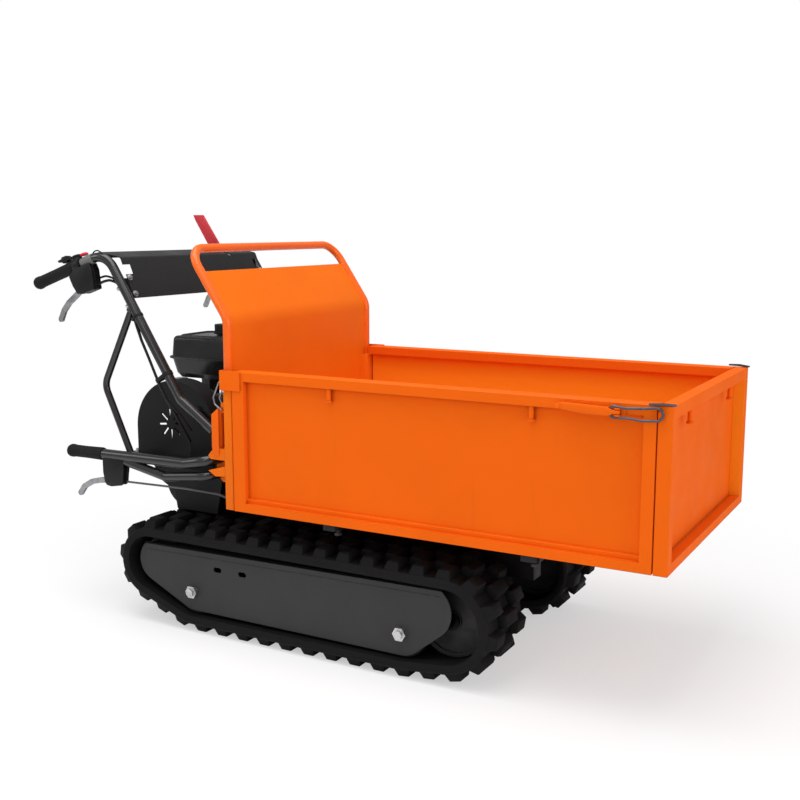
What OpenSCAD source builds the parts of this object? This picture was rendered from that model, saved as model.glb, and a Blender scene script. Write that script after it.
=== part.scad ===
// Tracked power carrier with an extending tipping tray
// Millimetres, +X to the front, +Y to the machine's left, +Z up, origin on the ground.

/* [Tray] */
// Length of the tray, headboard to front face
tray_l = 1012; // [960:1:1060]
// Width of the tray over its side panels
tray_w = 640; // [630:1:680]
// Height of the tray walls
wall_h = 317; // [290:1:340]
// Height of the walls' lower edge above the ground
tray_z = 313; // [311:1:325]
// Back face of the headboard posts
back_x = -202; // [-204:1:-196]
// Depth of a headboard post
post_d = 22; // [18:1:24]
// Depth of the side panel frame
side_t = 18; // [14:1:22]
// Depth of the front panel frame
front_t = 27; // [20:1:32]
// Thickness of the tray sheets
sheet_t = 3; // [2:0.5:4]
// Height of the top rim
rim_h = 20; // [16:1:24]
// Width of the top rim of a side panel
rim_w = 42; // [36:1:46]
// Height of the bottom rails
rail_h = 20; // [18:1:24]
// Width of the upright members of the panels
upright_w = 27; // [20:1:32]
// Length of the rope pegs
peg_l = 30; // [20:1:36]
// Diameter of the rope pegs
peg_d = 10; // [7:0.5:12]

/* [Extension arms] */
// Outer size of a square sleeve
sleeve = 36; // [34:1:40]
// Wall of a sleeve
sleeve_wall = 2.5; // [2:0.5:3]
// Play between an arm and its sleeve on each side
arm_play = 0.5; // [0.3:0.1:0.8]
// Rear pair of side arms
arm_x1 = 75; // [40:1:110]
// Front pair of side arms
arm_x2 = 535; // [525:1:545]
// Front panel arms either side of the middle
arm_y = 200; // [180:1:225]
// Length of a side arm
side_arm_l = 298; // [260:1:305]
// Length of a front arm inside the tray
front_arm_l = 218; // [200:1:220]

/* [Headboard] */
// Diameter of the hoop tube
hoop_d = 27; // [22:1:30]
// Height where the hoop bends back
hoop_bend_z = 743; // [700:1:760]
// Height of the hoop rail
hoop_z = 900; // [880:1:920]
// How far the hoop rail lies behind its foot
hoop_back = 83; // [70:1:95]
// Bend radius of the hoop
hoop_r = 45; // [35:1:55]
// Open hand gap below the hoop rail, along the slope
hand_gap = 36; // [30:1:60]

/* [Tipping] */
// Hinge of the tray
pivot_x = 450; // [430:1:460]
// Diameter of the hinge pins
pin_d = 18; // [14:1:20]
// Diameter of the tipping handle tube
tip_d = 25; // [22:1:25]
// Rear end of the tipping handle
tip_end_x = -681; // [-700:1:-660]
// Height of the tipping handle above the walls' lower edge
tip_dz = 91; // [86:1:94]
// Length of the tipping grip
tip_grip_l = 108; // [90:1:109]
// Diameter of the tipping grip
tip_grip_d = 33; // [30:1:34]
// Diameter of the release cable
cable_d = 5; // [4:0.5:6]
// Catch bar on the chassis
catch_x = -120; // [-130:1:-110]
// Diameter of the catch bar
catch_d = 14; // [10:1:16]

/* [Latches] */
// Length of a latch lever from its pin
lever_l = 106; // [90:1:108]
// Width of a latch lever
lever_w = 9; // [7:0.5:10]
// Diameter of a latch pin
latch_pin_d = 5; // [4:0.5:6]
// Distance from the pin to the loop's eye
latch_eye = 12; // [10:0.5:14]
// Diameter of the loop wire
wire_d = 4; // [3:0.5:4.5]
// Front latch pin behind the front face
latch_front = 101; // [95:1:110]
// Rear latch pin below the top of the walls
latch_rear = 78; // [74:1:84]

/* [Tracks] */
// Width of a track
track_w = 180; // [170:1:184]
// Middle of a track from the centre plane
track_y = 228; // [226:1:232]
// Belt thickness of a track
belt_t = 20; // [16:1:22]
// Height of the lugs
lug_h = 18; // [14:1:20]
// Pitch of the lugs, as near as whole lugs allow
lug_pitch = 60; // [52:1:72]
// Length of a lug at its root
lug_l = 34; // [26:1:38]
// Height of the guide horns
horn_h = 20; // [14:1:20]
// Drive sprocket
sprocket_x = -440; // [-445:1:-435]
// Height of the sprocket shaft
sprocket_z = 150; // [146:1:154]
// Radius of the belt on the sprocket
sprocket_r = 65; // [62:1:66]
// Front idler
idler_x = 348; // [340:1:356]
// Height of the idler axle
idler_z = 131; // [129:1:134]
// Radius of the belt on the idler
idler_r = 82; // [80:1:84]
// Rear roller
roller_x1 = -318; // [-326:1:-310]
// Front roller
roller_x2 = 243; // [235:1:250]
// Radius of the rollers
roller_r = 57; // [55:1:59]
// Width of one roller of a pair
wheel_w = 21; // [17:1:21]
// Width of one idler wheel of a pair
idler_w = 17; // [14:1:17]
// Diameter of the roller axles
axle_d = 20; // [16:1:22]
// Diameter of the idler axles
idler_axle_d = 24; // [20:1:26]
// Diameter of the half shafts
shaft_d = 30; // [26:1:34]
// Thickness of a side cover
cover_t = 3; // [2:0.5:4]
// Depth of the side cover's top flange
cover_flange = 35; // [20:1:38]

/* [Chassis] */
// Top of the chassis rails
chassis_z = 255; // [254:0.5:256]
// Height of the chassis rails
rail_d = 60; // [55:1:60]
// Width of the chassis rails
rail_w = 40; // [36:1:40]
// Middle of a chassis rail from the centre plane
rail_y = 100; // [98:1:100]
// Top of the engine deck
deck_z = 385; // [384:1:388]
// Thickness of the plates
plate_t = 5; // [4:0.5:6]
// Rear edge of the engine deck
deck_x = -585; // [-595:1:-580]
// Half width of the engine deck
deck_w = 215; // [210:1:225]

/* [Engine] */
// Crankshaft
crank_x = -430; // [-434:1:-426]
// Height of the crankshaft above the deck
crank_h = 100; // [98:1:104]
// Diameter of the crankshaft end
crank_d = 19; // [16:1:22]
// Engine pulley
pulley_r1 = 42; // [38:1:46]
// Gearbox pulley
pulley_r2 = 58; // [54:1:59]
// Middle plane of the belt drive
drive_y = 166; // [164:1:168]
// Fuel tank length
tank_l = 240; // [220:1:244]
// Fuel tank width
tank_w = 170; // [150:1:176]
// Fuel tank height
tank_h = 107; // [96:1:114]
// Underside of the fuel tank above the deck
tank_up = 179; // [177:1:184]
// Radius of the fuel cap
cap_r = 27; // [24:1:30]
// Depth of the belt guard
guard_d = 52; // [46:1:56]
// Radius of the belt guard's dome
guard_r = 122; // [116:1:126]

/* [Handlebars] */
// Diameter of the handlebar tubes
bar_d = 27; // [25:0.5:28]
// Height of the tubes' top bend
bar_h = 887; // [875:1:900]
// Tubes from the tray's side face
bar_in = 40; // [39:1:44]
// Diameter of the braces
brace_d = 20; // [16:1:22]
// Length of the grips
grip_l = 140; // [120:1:142]
// Diameter of the grips
grip_d = 34; // [31:1:36]
// Width of a lever housing
housing_w = 34; // [30:1:34]
// Thickness of the hand levers
hand_t = 8; // [6:0.5:10]
// Gear lever left of the centre plane
gear_y = 150; // [120:1:180]
// Length of the gear lever above its pin
gear_l = 150; // [120:1:158]
// Width of the gear lever
gear_w = 30; // [24:1:32]

/* [Hidden] */
$fn = 64;

// Colours
orange = [0.92, 0.38, 0.07];
black = [0.13, 0.13, 0.13];
dark = [0.24, 0.24, 0.24];
rubber = [0.10, 0.10, 0.10];
steel = [0.62, 0.63, 0.64];
silver = [0.72, 0.72, 0.72];
red = [0.76, 0.16, 0.20];

// Clearances
run_fit = 0.05;
body_gap = 0.5;
panel_gap = 3;
hook_gap = 2.5;
bend_swell = 0.1;
// Extra radius of a strip's round ends over its sides
cap_swell = 0.3;
arc_step = 7.5;

// Tray places
half_w = tray_w / 2;
front_x = back_x + tray_l;
wall_top = tray_z + wall_h;
post_x = back_x + post_d;
side_x0 = post_x + panel_gap + 1;
side_x1 = front_x - front_t - panel_gap;
side_in = half_w - side_t;
floor_z = tray_z + rail_h;
sleeve_z = floor_z - sleeve;
arm = sleeve - 2 * sleeve_wall - 2 * arm_play;
arm_z = sleeve_z + sleeve_wall + arm_play;
tray_rail_h = 24;
frame_z = sleeve_z - tray_rail_h;
pivot_z = frame_z + 2;
lug_r = 16;
hoop_x = back_x + 10;
hoop_y = half_w - 28;
sheet_x = hoop_x - sheet_t / 2;

// Tipping handle places
tip_y = half_w - 8;
tip_z = tray_z + tip_dz;
tip_turn_x = back_x - 50;
tip_drop = 36;
ear_y = [tip_y - 41, tip_y - 71];
ear_t = 5;

// Track places
belt_in = lug_h + belt_t;
roller_z = belt_in + roller_r;
wheels = [
    [sprocket_x, sprocket_z, sprocket_r], [idler_x, idler_z, idler_r],
    [roller_x2, roller_z, roller_r], [roller_x1, roller_z, roller_r]
];
beam_w = 40;
idler_y = beam_w / 2 + 4 + idler_w / 2;
wheel_y = beam_w / 2 + 24 + wheel_w / 2;
cover_y = track_y + wheel_y + wheel_w / 2 + 4;
cover_round = [
    [sprocket_x + 11, sprocket_z + 3, sprocket_r - 13], [idler_x - 49, idler_z + 23, idler_r - 20],
    [roller_x2, roller_z + 4, roller_r - 3], [roller_x1, roller_z + 5, roller_r - 5]
];
cover_top = [[sprocket_x - 40, sprocket_z + 42], [idler_x + 20, idler_z + 72]];

// Chassis places
rail_z = chassis_z - rail_d;
rail_x = [-500, pivot_x + 20];
cross_x = [-180, 120];
cross_w = 50;
cross_z = 125;
plate_y = rail_y + rail_w / 2;
bar_y = half_w - bar_in;
upright_y = bar_y - bar_d / 2 - 0.5;
foot_x = [-545, -475];

// Drive places
crank_z = deck_z + crank_h;
input_z = deck_z - 63;
head_x = crank_x + 157;
head_z = deck_z + 188;
drive_w = 30;
v_depth = 9;

// Handlebar points in the plane of one tube
bar_top = [-572, bar_h];
grip_tip = bar_top + [-228.4, -79];
bar_low = [-356, 548];
bar_end = [-261, 483];
brace_pts = [bar_top + (bar_low - bar_top) * 0.365, [-592, 568], [-510, deck_z + plate_t]];
grip_dir = unit(bar_top - grip_tip);
grip_up = [-grip_dir[1], grip_dir[0]];
grip_tilt = atan2(grip_dir[1], grip_dir[0]);
throttle_s = 150;
switch_s = 182;
hand_pin = grip_tip + [148.4, -8];
hand_pts = [
    hand_pin, hand_pin + [-20, -17], hand_pin + [-46, -36], hand_pin + [-64, -56], hand_pin + [-75, -78]
];
release_pin = [tip_end_x + 125, tip_z - 64];
release_pts = [
    release_pin, release_pin + [-30, -3], release_pin + [-60, -10],
    release_pin + [-85, -24], release_pin + [-99, -42]
];
gear_pin = bar_top + [26, -49];
gear_dir = unit([-48, 80]);

// Vector helpers
function unit(v) = v / norm(v);
function turn(v) = [v[1], -v[0]];
function polar(r, a) = [r * cos(a), r * sin(a)];
function spot(c) = [c[0], c[1]];
function in_plane(p, y) = [p[0], y, p[1]];

// A loop of belt round circles [x, z, r], listed clockwise from the machine's right
function after(c, i) = (i + 1) % len(c);
function run_vec(c, i) = spot(c[after(c, i)]) - spot(c[i]);
function run_angle(c, i) = let(d = run_vec(c, i))
    atan2(d[1], d[0]) + acos((c[i][2] - c[after(c, i)][2]) / norm(d));
function run_len(c, i) = let(d = run_vec(c, i), s = c[i][2] - c[after(c, i)][2])
    sqrt(d * d - s * s);
function arc_angle(c, i) = let(d = run_angle(c, (i + len(c) - 1) % len(c)) - run_angle(c, i))
    d - 360 * floor(d / 360);
function arc_len(c, i, out) = arc_angle(c, i) * PI / 180 * (c[i][2] + out);
function loop_len(c, out, i = 0) = i == len(c) ? 0
    : run_len(c, i) + arc_len(c, i, out) + loop_len(c, out, i + 1);
function loop_at(c, out, s, i = 0) = let(j = after(c, i), l = run_len(c, i), a = arc_len(c, j, out))
    s <= l ? on_run(c, out, s, i)
    : s <= l + a ? on_arc(c, out, s - l, i, j)
    : loop_at(c, out, s - l - a, j);
function on_run(c, out, s, i) = let(n = polar(1, run_angle(c, i)))
    concat(spot(c[i]) + n * (c[i][2] + out) + turn(n) * s, run_angle(c, i));
function on_arc(c, out, s, i, j) = let(a = run_angle(c, i) - s / (c[j][2] + out) * 180 / PI)
    concat(spot(c[j]) + polar(c[j][2] + out, a), a);
function arc_steps(c, i) = ceil(arc_angle(c, i) / arc_step);
function loop_points(c, out) = [
    for (i = [0 : len(c) - 1], k = [0 : arc_steps(c, i)])
        spot(c[i]) + polar(c[i][2] + out, run_angle(c, i) + arc_angle(c, i) * (1 - k / arc_steps(c, i)))
];

// Shape helpers
module rod(a, b, d) {
    v = b - a;
    translate(a) rotate([0, acos(v[2] / norm(v)), atan2(v[1], v[0])]) cylinder(h = norm(v), d = d);
}

// Places a child's x, y and z axes along u, w and n at p
module place(u, w, n, p) {
    multmatrix([
        [u[0], w[0], n[0], p[0]], [u[1], w[1], n[1], p[1]], [u[2], w[2], n[2], p[2]], [0, 0, 0, 1]
    ]) children();
}

module bend(p, u, v, r, d) {
    a = acos(u * v);
    middle = p + unit(v - u) * r / cos(a / 2);
    e = unit(p - u * r * tan(a / 2) - middle);
    place(e, u, cross(e, u), middle) rotate_extrude(angle = a) translate([r, 0])
        circle(d = d + 2 * bend_swell);
}

function bend_reach(u, v, r) = r * tan(acos(u * v) / 2);

// Tube along points; the straights run a little way into the slightly fuller bends
module bent_tube(pts, r, d) {
    last = len(pts) - 2;
    lap = min(1, r / 6);
    dirs = [for (i = [0 : last]) unit(pts[i + 1] - pts[i])];
    reach = [for (i = [0 : last + 1]) i == 0 || i > last ? 0 : bend_reach(dirs[i - 1], dirs[i], r)];
    trim = [for (t = reach) max(t - lap, 0.7 * t)];
    for (i = [0 : last]) rod(pts[i] + dirs[i] * trim[i], pts[i + 1] - dirs[i] * trim[i + 1], d);
    for (i = [1 : 1 : last]) bend(pts[i], dirs[i - 1], dirs[i], r, d);
}

// Extrudes an x-z drawing from y0 to y1
module slab(y0, y1) {
    translate([0, y1, 0]) rotate([90, 0, 0]) linear_extrude(y1 - y0) children();
}

module block(a, b) {
    translate(a) cube(b - a);
}

module pin_y(p, d, y0, y1) {
    translate([p[0], y0, p[1]]) rotate([-90, 0, 0]) cylinder(h = y1 - y0, d = d);
}

// A strip of width w along points, its corners mitred and its ends round
function normal_at(pts, i) = turn(unit(pts[i + 1] - pts[i]));
function mitre_at(pts, i) = let(
    a = normal_at(pts, max(i - 1, 0)),
    b = normal_at(pts, min(i, len(pts) - 2))
) (a + b) / (1 + a * b);

module stroke(pts, w) {
    last = len(pts) - 1;
    polygon(concat(
        [for (i = [0 : last]) pts[i] + mitre_at(pts, i) * w / 2],
        [for (i = [last : -1 : 0]) pts[i] - mitre_at(pts, i) * w / 2]
    ));
    for (p = [pts[0], pts[last]]) translate(p) circle(d = w + 2 * cap_swell);
}

module round_rect(w, h, r) {
    square([w - 2 * r, h], center = true);
    square([w, h - 2 * r], center = true);
    for (x = [-1, 1], y = [-1, 1]) translate([x * (w / 2 - r), y * (h / 2 - r)]) circle(r);
}

// Bolt head, washer and shank along +z, head below z = 0
module bolt(d, l) {
    translate([0, 0, -0.7 * d]) cylinder(h = 0.7 * d, d = 1.8 * d, $fn = 6);
    cylinder(h = l, d = d);
}

module both_sides() {
    children();
    mirror([0, 1, 0]) children();
}

// Undercarriage

module chassis_frame() color(black) {
    both_sides() {
        side_frame();
        track_beam();
        hinge_ears();
        side_plate();
        upright();
        deck_tab();
    }
    for (x = [-362, -20, 380]) block([x, -rail_y, rail_z], [x + 40, rail_y, chassis_z - 1]);
    for (x = cross_x)
        block([x, -track_y - beam_w / 2, cross_z], [x + cross_w, track_y + beam_w / 2, cross_z + cross_w]);
    pin_y([catch_x, chassis_z - 10], catch_d, -rail_y, rail_y);
    difference() {
        block([deck_x, -deck_w, deck_z - plate_t], [-245, deck_w, deck_z]);
        block([crank_x - 75, -drive_y - 24, deck_z - 20], [crank_x + 75, -drive_y + 24, deck_z + 20]);
    }
}

module side_frame() {
    block([rail_x[0], rail_y - rail_w / 2, rail_z], [rail_x[1], rail_y + rail_w / 2, chassis_z]);
    for (x = cross_x)
        block([x, rail_y - rail_w / 2, cross_z + cross_w], [x + cross_w, rail_y + rail_w / 2, rail_z]);
    block([-300, rail_y - rail_w / 2, chassis_z], [-270, rail_y + rail_w / 2, deck_z - plate_t]);
}

module track_beam() {
    tip = 17;
    under = belt_in + horn_h + 10;
    difference() {
        slab(track_y - beam_w / 2, track_y + beam_w / 2) polygon([
            [roller_x1 - 22, under + 6], [roller_x1 - 10, under], [roller_x2 + 16, under],
            [idler_x + tip, idler_z - tip], [idler_x + tip, idler_z + tip], [idler_x - tip, idler_z + tip],
            [roller_x2, cross_z], [roller_x1 - 22, cross_z]
        ]);
        for (x = [roller_x1, roller_x2])
            pin_y([x, roller_z], axle_d + 2 * run_fit, track_y - beam_w, track_y + beam_w);
        pin_y([idler_x, idler_z], idler_axle_d + 2 * run_fit, track_y - beam_w, track_y + beam_w);
    }
}

module hinge_ears() {
    for (y = [rail_y - 20, rail_y + 10]) difference() {
        slab(y, y + 10) {
            translate([pivot_x, pivot_z]) circle(lug_r);
            translate([pivot_x - lug_r, chassis_z - 1]) square([2 * lug_r, pivot_z - chassis_z + 1]);
        }
        pin_y([pivot_x, pivot_z], pin_d + 2 * run_fit, y - 1, y + 11);
    }
}

module side_plate() difference() {
    slab(plate_y, plate_y + plate_t) polygon([
        [deck_x, deck_z - plate_t], [deck_x + 34, deck_z - 82], [deck_x + 73, deck_z - 104],
        [-504, rail_z], [-380, rail_z], [-300, chassis_z], [-280, deck_z - plate_t]
    ]);
    pin_y([crank_x, input_z], crank_d + 9, plate_y - 1, plate_y + plate_t + 1);
}

module upright() {
    difference() {
        slab(upright_y - 6, upright_y) polygon([
            [-350, deck_z - plate_t], [-279, deck_z - plate_t], [-273, 440], [-263, 470], [-263, 500],
            [-300, 525], [-330, 520]
        ]);
        for (p = upright_bolts()) pin_y(p, 10 + 2 * run_fit, upright_y - 20, upright_y + 20);
    }
    block([-350, deck_w - 1, deck_z - plate_t], [-279, upright_y, deck_z]);
}

function upright_bolts() = [for (t = [0.3, 0.62]) bar_end + (bar_low - bar_end) * t];

module deck_tab() {
    block([foot_x[0], deck_w - 1, deck_z - plate_t], [foot_x[1], bar_y + 12, deck_z]);
}

module gearbox() color(dark) difference() {
    body = [[sprocket_x, sprocket_z, 68], [crank_x, input_z, 36]];
    half = rail_y - rail_w / 2 - 15;
    union() {
        slab(-half, half) polygon(loop_points(body, 0));
        slab(-7, 7) polygon(loop_points(body, 8));
        both_sides() {
            pin_y([sprocket_x, sprocket_z], 64, half - 1, track_y - track_w / 2 + 12);
            pin_y([sprocket_x, sprocket_z], 92, half - 1, half + 12);
            block([sprocket_x - 30, half - 1, rail_z + 8], [sprocket_x + 30, half + 15, chassis_z - 8]);
        }
        pin_y([crank_x, input_z], 52, -half - 12, -half + 1);
    }
    both_sides() pin_y([sprocket_x, sprocket_z], shaft_d + 2 * run_fit, 40, track_y);
    pin_y([crank_x, input_z], crank_d + 2 * run_fit, -half - 20, -half + 30);
}

module fasteners() color(silver) {
    both_sides() {
        pin_y([pivot_x, pivot_z], pin_d, rail_y - 24, rail_y + 24);
        for (p = upright_bolts()) translate([p[0], upright_y - 6, p[1]]) rotate([-90, 0, 0]) bolt(10, 6);
        for (x = foot_bolts()) translate([x, bar_y - 26, deck_z + plate_t]) rotate([180, 0, 0]) bolt(10, 5);
        for (i = [0, 1]) console_bolt(i) bolt(8, 3);
    }
    for (x = guard_feet()) translate([x, -guard_y() + 12, deck_z + 3]) rotate([180, 0, 0]) bolt(8, 3);
}

module track_axles() color(silver) both_sides() {
    for (x = [roller_x1, roller_x2]) {
        pin_y([x, roller_z], axle_d, track_y - wheel_y - wheel_w / 2 - 8, cover_y + cover_t);
        translate([x, cover_y + cover_t + 12, roller_z]) rotate([90, 0, 0])
            cylinder(h = 12, d = 32, $fn = 6);
        translate([x, cover_y + cover_t + 18, roller_z]) rotate([90, 0, 0]) cylinder(h = 6.01, d = 19);
        pin_y([x, roller_z], 30, track_y - wheel_y - wheel_w / 2 - 9, track_y - wheel_y - wheel_w / 2 - 1);
        for (s = [-1, 1]) translate([x, track_y + s * (beam_w / 2 + 12), roller_z])
            rotate([90, 0, 0]) cylinder(h = 22, d = axle_d + 8, center = true);
    }
    idler_reach = idler_y + idler_w / 2 + 8;
    pin_y([idler_x, idler_z], idler_axle_d, track_y - idler_reach, track_y + idler_reach);
    for (s = [-1, 1]) translate([idler_x, track_y + s * (idler_y + idler_w / 2 + 4), idler_z])
        rotate([90, 0, 0]) cylinder(h = 6, d = idler_axle_d + 14, center = true);
}

module side_cover() color(dark) {
    top_dir = unit(cover_top[1] - cover_top[0]);
    tilt = atan2(top_dir[1], top_dir[0]);
    span = norm(cover_top[1] - cover_top[0]);
    difference() {
        slab(cover_y, cover_y + cover_t) difference() {
            polygon(loop_points(cover_round, 0));
            translate(cover_top[0]) rotate(tilt) translate([-100, 0]) square([span + 200, 200]);
            for (x = [-246, -175]) translate([x, sprocket_z + 7]) stroke([[-5, 0], [5, 0]], 12);
        }
        for (x = [roller_x1, roller_x2])
            pin_y([x, roller_z], axle_d + 2 * run_fit, cover_y - 1, cover_y + cover_t + 1);
    }
    slab(cover_y - cover_flange, cover_y + 0.5) translate(cover_top[0]) rotate(tilt)
        translate([sprocket_r + 40, -cover_t]) square([span - sprocket_r - 120, cover_t]);
}

module side_cover_right() mirror([0, 1, 0]) side_cover();
module side_cover_left() side_cover();

module track() color(rubber) {
    total = loop_len(wheels, belt_t);
    count = round(total / lug_pitch);
    translate([0, track_y, 0]) difference() {
        union() {
            slab(-track_w / 2, track_w / 2) difference() {
                polygon(loop_points(wheels, belt_t));
                polygon(loop_points(wheels, 0));
            }
            for (k = [0 : count - 1]) {
                lug(loop_at(wheels, belt_t, total * k / count), track_w / 3, track_w / 3);
                lug(loop_at(wheels, belt_t, total * k / count), -track_w / 3, track_w / 3);
                lug(loop_at(wheels, belt_t, total * (k + 0.5) / count), 0, track_w / 3 + 6);
                horns(loop_at(wheels, 0, loop_len(wheels, 0) * k / count));
            }
        }
        block([roller_x1 - 100, -track_w, -belt_t], [idler_x, track_w, 0]);
    }
}

module belt_band(c, inside, thick, wide) {
    for (i = [0 : len(c) - 1]) {
        n = run_angle(c, i);
        p = on_run(c, inside, 0, i);
        translate([p[0], 0, p[1]]) rotate([0, 90 - n, 0]) translate([0, -wide / 2, 0])
            cube([run_len(c, i), wide, thick]);
        translate([c[i][0], 0, c[i][1]]) rotate([90, 0, 0]) rotate([0, 0, n])
            rotate_extrude(angle = arc_angle(c, i)) translate([c[i][2] + inside, -wide / 2])
                square([thick, wide]);
    }
}

module lug(at, y, wide) {
    translate([at[0], y, at[1]]) rotate([0, 90 - at[2], 0]) slab(-wide / 2, wide / 2) polygon([
        [-lug_l / 2, -4], [lug_l / 2, -4], [lug_l / 2, 1], [lug_l / 2 - 4, lug_h], [4 - lug_l / 2, lug_h],
        [-lug_l / 2, 1]
    ]);
}

module horns(at) {
    for (y = [-1, 1]) translate([at[0], y * 15, at[1]]) rotate([0, 90 - at[2], 0]) slab(-5, 5)
        polygon([[-13, 4], [-13, -1], [-7, -horn_h], [7, -horn_h], [13, -1], [13, 4]]);
}

module track_right() mirror([0, 1, 0]) track();
module track_left() track();

module sprocket() color(steel) {
    pin_y([sprocket_x, sprocket_z], shaft_d, 60, track_y + 48);
    pin_y([sprocket_x, sprocket_z], 64, track_y - 42, track_y + 42);
    for (y = [-40, 26]) translate([sprocket_x, track_y + y + 14, sprocket_z]) rotate([90, 0, 0])
        linear_extrude(14) toothed_disc(7);
}

module toothed_disc(teeth) {
    circle(sprocket_r - 14);
    for (k = [0 : teeth - 1]) rotate(k * 360 / teeth) polygon([
        [sprocket_r - 22, -16], [sprocket_r - 6, -12], [sprocket_r - body_gap - 0.6, -6],
        [sprocket_r - body_gap - 0.6, 6], [sprocket_r - 6, 12], [sprocket_r - 22, 16]
    ]);
}

module sprocket_right() mirror([0, 1, 0]) sprocket();
module sprocket_left() sprocket();

module wheel_pair(x, z, r, bore, y, w) color(dark) for (s = [-1, 1])
    translate([x, track_y + s * y, z]) rotate([90, 0, 0]) rotate_extrude() polygon([
        [bore / 2 + run_fit, -w / 2], [bore / 2 + 9, -w / 2], [bore / 2 + 9, -4], [r - 12, -4],
        [r - 12, -w / 2], [r - 3, -w / 2], [r - body_gap, 3 - w / 2], [r - body_gap, w / 2 - 3],
        [r - 3, w / 2], [r - 12, w / 2], [r - 12, 4], [bore / 2 + 9, 4], [bore / 2 + 9, w / 2],
        [bore / 2 + run_fit, w / 2]
    ]);

module idler_left() wheel_pair(idler_x, idler_z, idler_r, idler_axle_d, idler_y, idler_w);
module idler_right() mirror([0, 1, 0]) idler_left();
module roller_front_left() wheel_pair(roller_x2, roller_z, roller_r, axle_d, wheel_y, wheel_w);
module roller_rear_left() wheel_pair(roller_x1, roller_z, roller_r, axle_d, wheel_y, wheel_w);
module roller_front_right() mirror([0, 1, 0]) roller_front_left();
module roller_rear_right() mirror([0, 1, 0]) roller_rear_left();

// Engine and drive

module engine_block() color(dark) difference() {
    tilt = 15;
    union() {
        block([crank_x - 90, -85, deck_z], [crank_x + 85, 75, deck_z + 16]);
        slab(-80, 72) polygon(loop_points([
            [crank_x - 38, crank_z - 22, 52], [crank_x + 30, crank_z - 10, 58],
            [crank_x + 40, deck_z + 44, 42], [crank_x - 42, deck_z + 44, 42]
        ], 0));
        pin_y([crank_x, crank_z], 66, -96, -70);
        translate([crank_x, -4, crank_z]) rotate([0, -tilt, 0]) {
            translate([40, -48, -48]) cube([140, 96, 76]);
            for (x = [78 : 10 : 168]) translate([x, -60, -57]) cube([4, 120, 93]);
            translate([176, -44, -44]) cube([16, 88, 76]);
            translate([190, 0, 0]) rotate([0, 90, 0]) cylinder(h = 14, d = 30);
        }
        for (x = [crank_x - 75, crank_x + 30]) block([x, -20, crank_z], [x + 26, 20, deck_z + tank_up]);
        for (y = [-70, 40]) block([head_x - 39, y, crank_z + 40], [head_x + 3, y + 30, head_z]);
    }
    pin_y([crank_x, crank_z], crank_d + 2 * run_fit, -120, -20);
}

module blower_housing() color(black) translate([crank_x, 72, crank_z]) rotate([-90, 0, 0]) difference() {
    rotate_extrude() polygon([
        [0, 0], [74, 0], [78, 8], [78, 52], [70, 64], [60, 66], [58, 86], [50, 92], [0, 92]
    ]);
    for (k = [0 : 15]) rotate(k * 22.5) translate([32, 0, 86]) linear_extrude(10)
        stroke([[-12, 0], [12, 0]], 6);
}

module recoil_handle() color(black)
    translate([crank_x - 49.5, 72 + 65.5, crank_z + 49.5]) rotate([-90, -45, 0]) {
        cylinder(h = 12, d = 14);
        translate([-24, 0, 18]) rotate([0, 90, 0]) cylinder(h = 48, d = 17);
        for (x = [-24, 24]) translate([x, 0, 18]) sphere(d = 17);
    }

function tank_mid() = [crank_x - 19, 5];

// A corner of the tank, set in from its outline
module tank_corner(x, y, in, z) translate([x * (tank_l / 2 - in), y * (tank_w / 2 - in), z]) children();

module fuel_tank() color(black) difference() {
    union() {
        translate([tank_mid()[0], tank_mid()[1], deck_z + tank_up]) {
            hull() for (x = [-1, 1], y = [-1, 1]) {
                tank_corner(x, y, 38, 0) cylinder(h = 4, r = 16, $fn = 32);
                tank_corner(x, y, 33, 12) cylinder(h = 4, r = 20, $fn = 32);
                tank_corner(x, y, 27, tank_h * 0.46) cylinder(h = 4, r = 22, $fn = 32);
            }
            translate([0, 0, tank_h * 0.46]) linear_extrude(6) round_rect(tank_l, tank_w, 24);
            hull() for (x = [-1, 1], y = [-1, 1]) {
                tank_corner(x, y, 26, tank_h * 0.5) cylinder(h = 6, r = 21, $fn = 32);
                tank_corner(x, y, 22, tank_h - 12) sphere(r = 12, $fn = 32);
            }
        }
        translate(cap_foot()) cylinder(h = 10, r = cap_r - 7);
    }
    translate(cap_foot()) translate([0, 0, -6]) cylinder(h = 30, r = cap_r - 13);
}

function cap_foot() = [tank_mid()[0] + 3, tank_mid()[1], deck_z + tank_up + tank_h - 6];

module fuel_cap() color(black) translate(cap_foot()) translate([0, 0, 10 + body_gap]) {
    cylinder(h = 5, r = cap_r);
    translate([0, 0, 4]) difference() {
        cylinder(h = 20, r = cap_r - 2);
        for (k = [0 : 11]) rotate(k * 30) translate([cap_r, 0, -1]) cylinder(h = 22, d = 7);
    }
    translate([0, 0, -14]) cylinder(h = 15, r = cap_r - 13 - body_gap);
}

module muffler() color(steel) translate([head_x, 62, head_z]) {
    linear_extrude(78) round_rect(96, 104, 24);
    translate([0, 0, 70]) linear_extrude(14) round_rect(80, 88, 20);
    translate([21, 48, 50]) rotate([-90, 0, 0]) cylinder(h = 22, d = 26);
}

module air_filter() color(black) translate([head_x, -50, head_z]) {
    linear_extrude(66) round_rect(98, 108, 18);
    translate([0, 0, 64]) linear_extrude(22) round_rect(90, 100, 16);
    translate([0, 0, 80]) cylinder(h = 16, d = 26);
}

function guard_y() = drive_y + drive_w / 2 + 20;
function guard_mid() = [crank_x - 13, deck_z + 71];
function guard_feet() = [guard_mid()[0] - guard_r - 11, guard_mid()[0] + guard_r + 11];

module guard_outline(in) intersection() {
    r = guard_r - in;
    union() {
        translate(guard_mid()) circle(r);
        translate(guard_mid() - [r, guard_r]) square([2 * r, guard_r]);
    }
    translate([guard_mid()[0] - guard_r, deck_z - 2 * in]) square(2 * guard_r);
}

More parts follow.
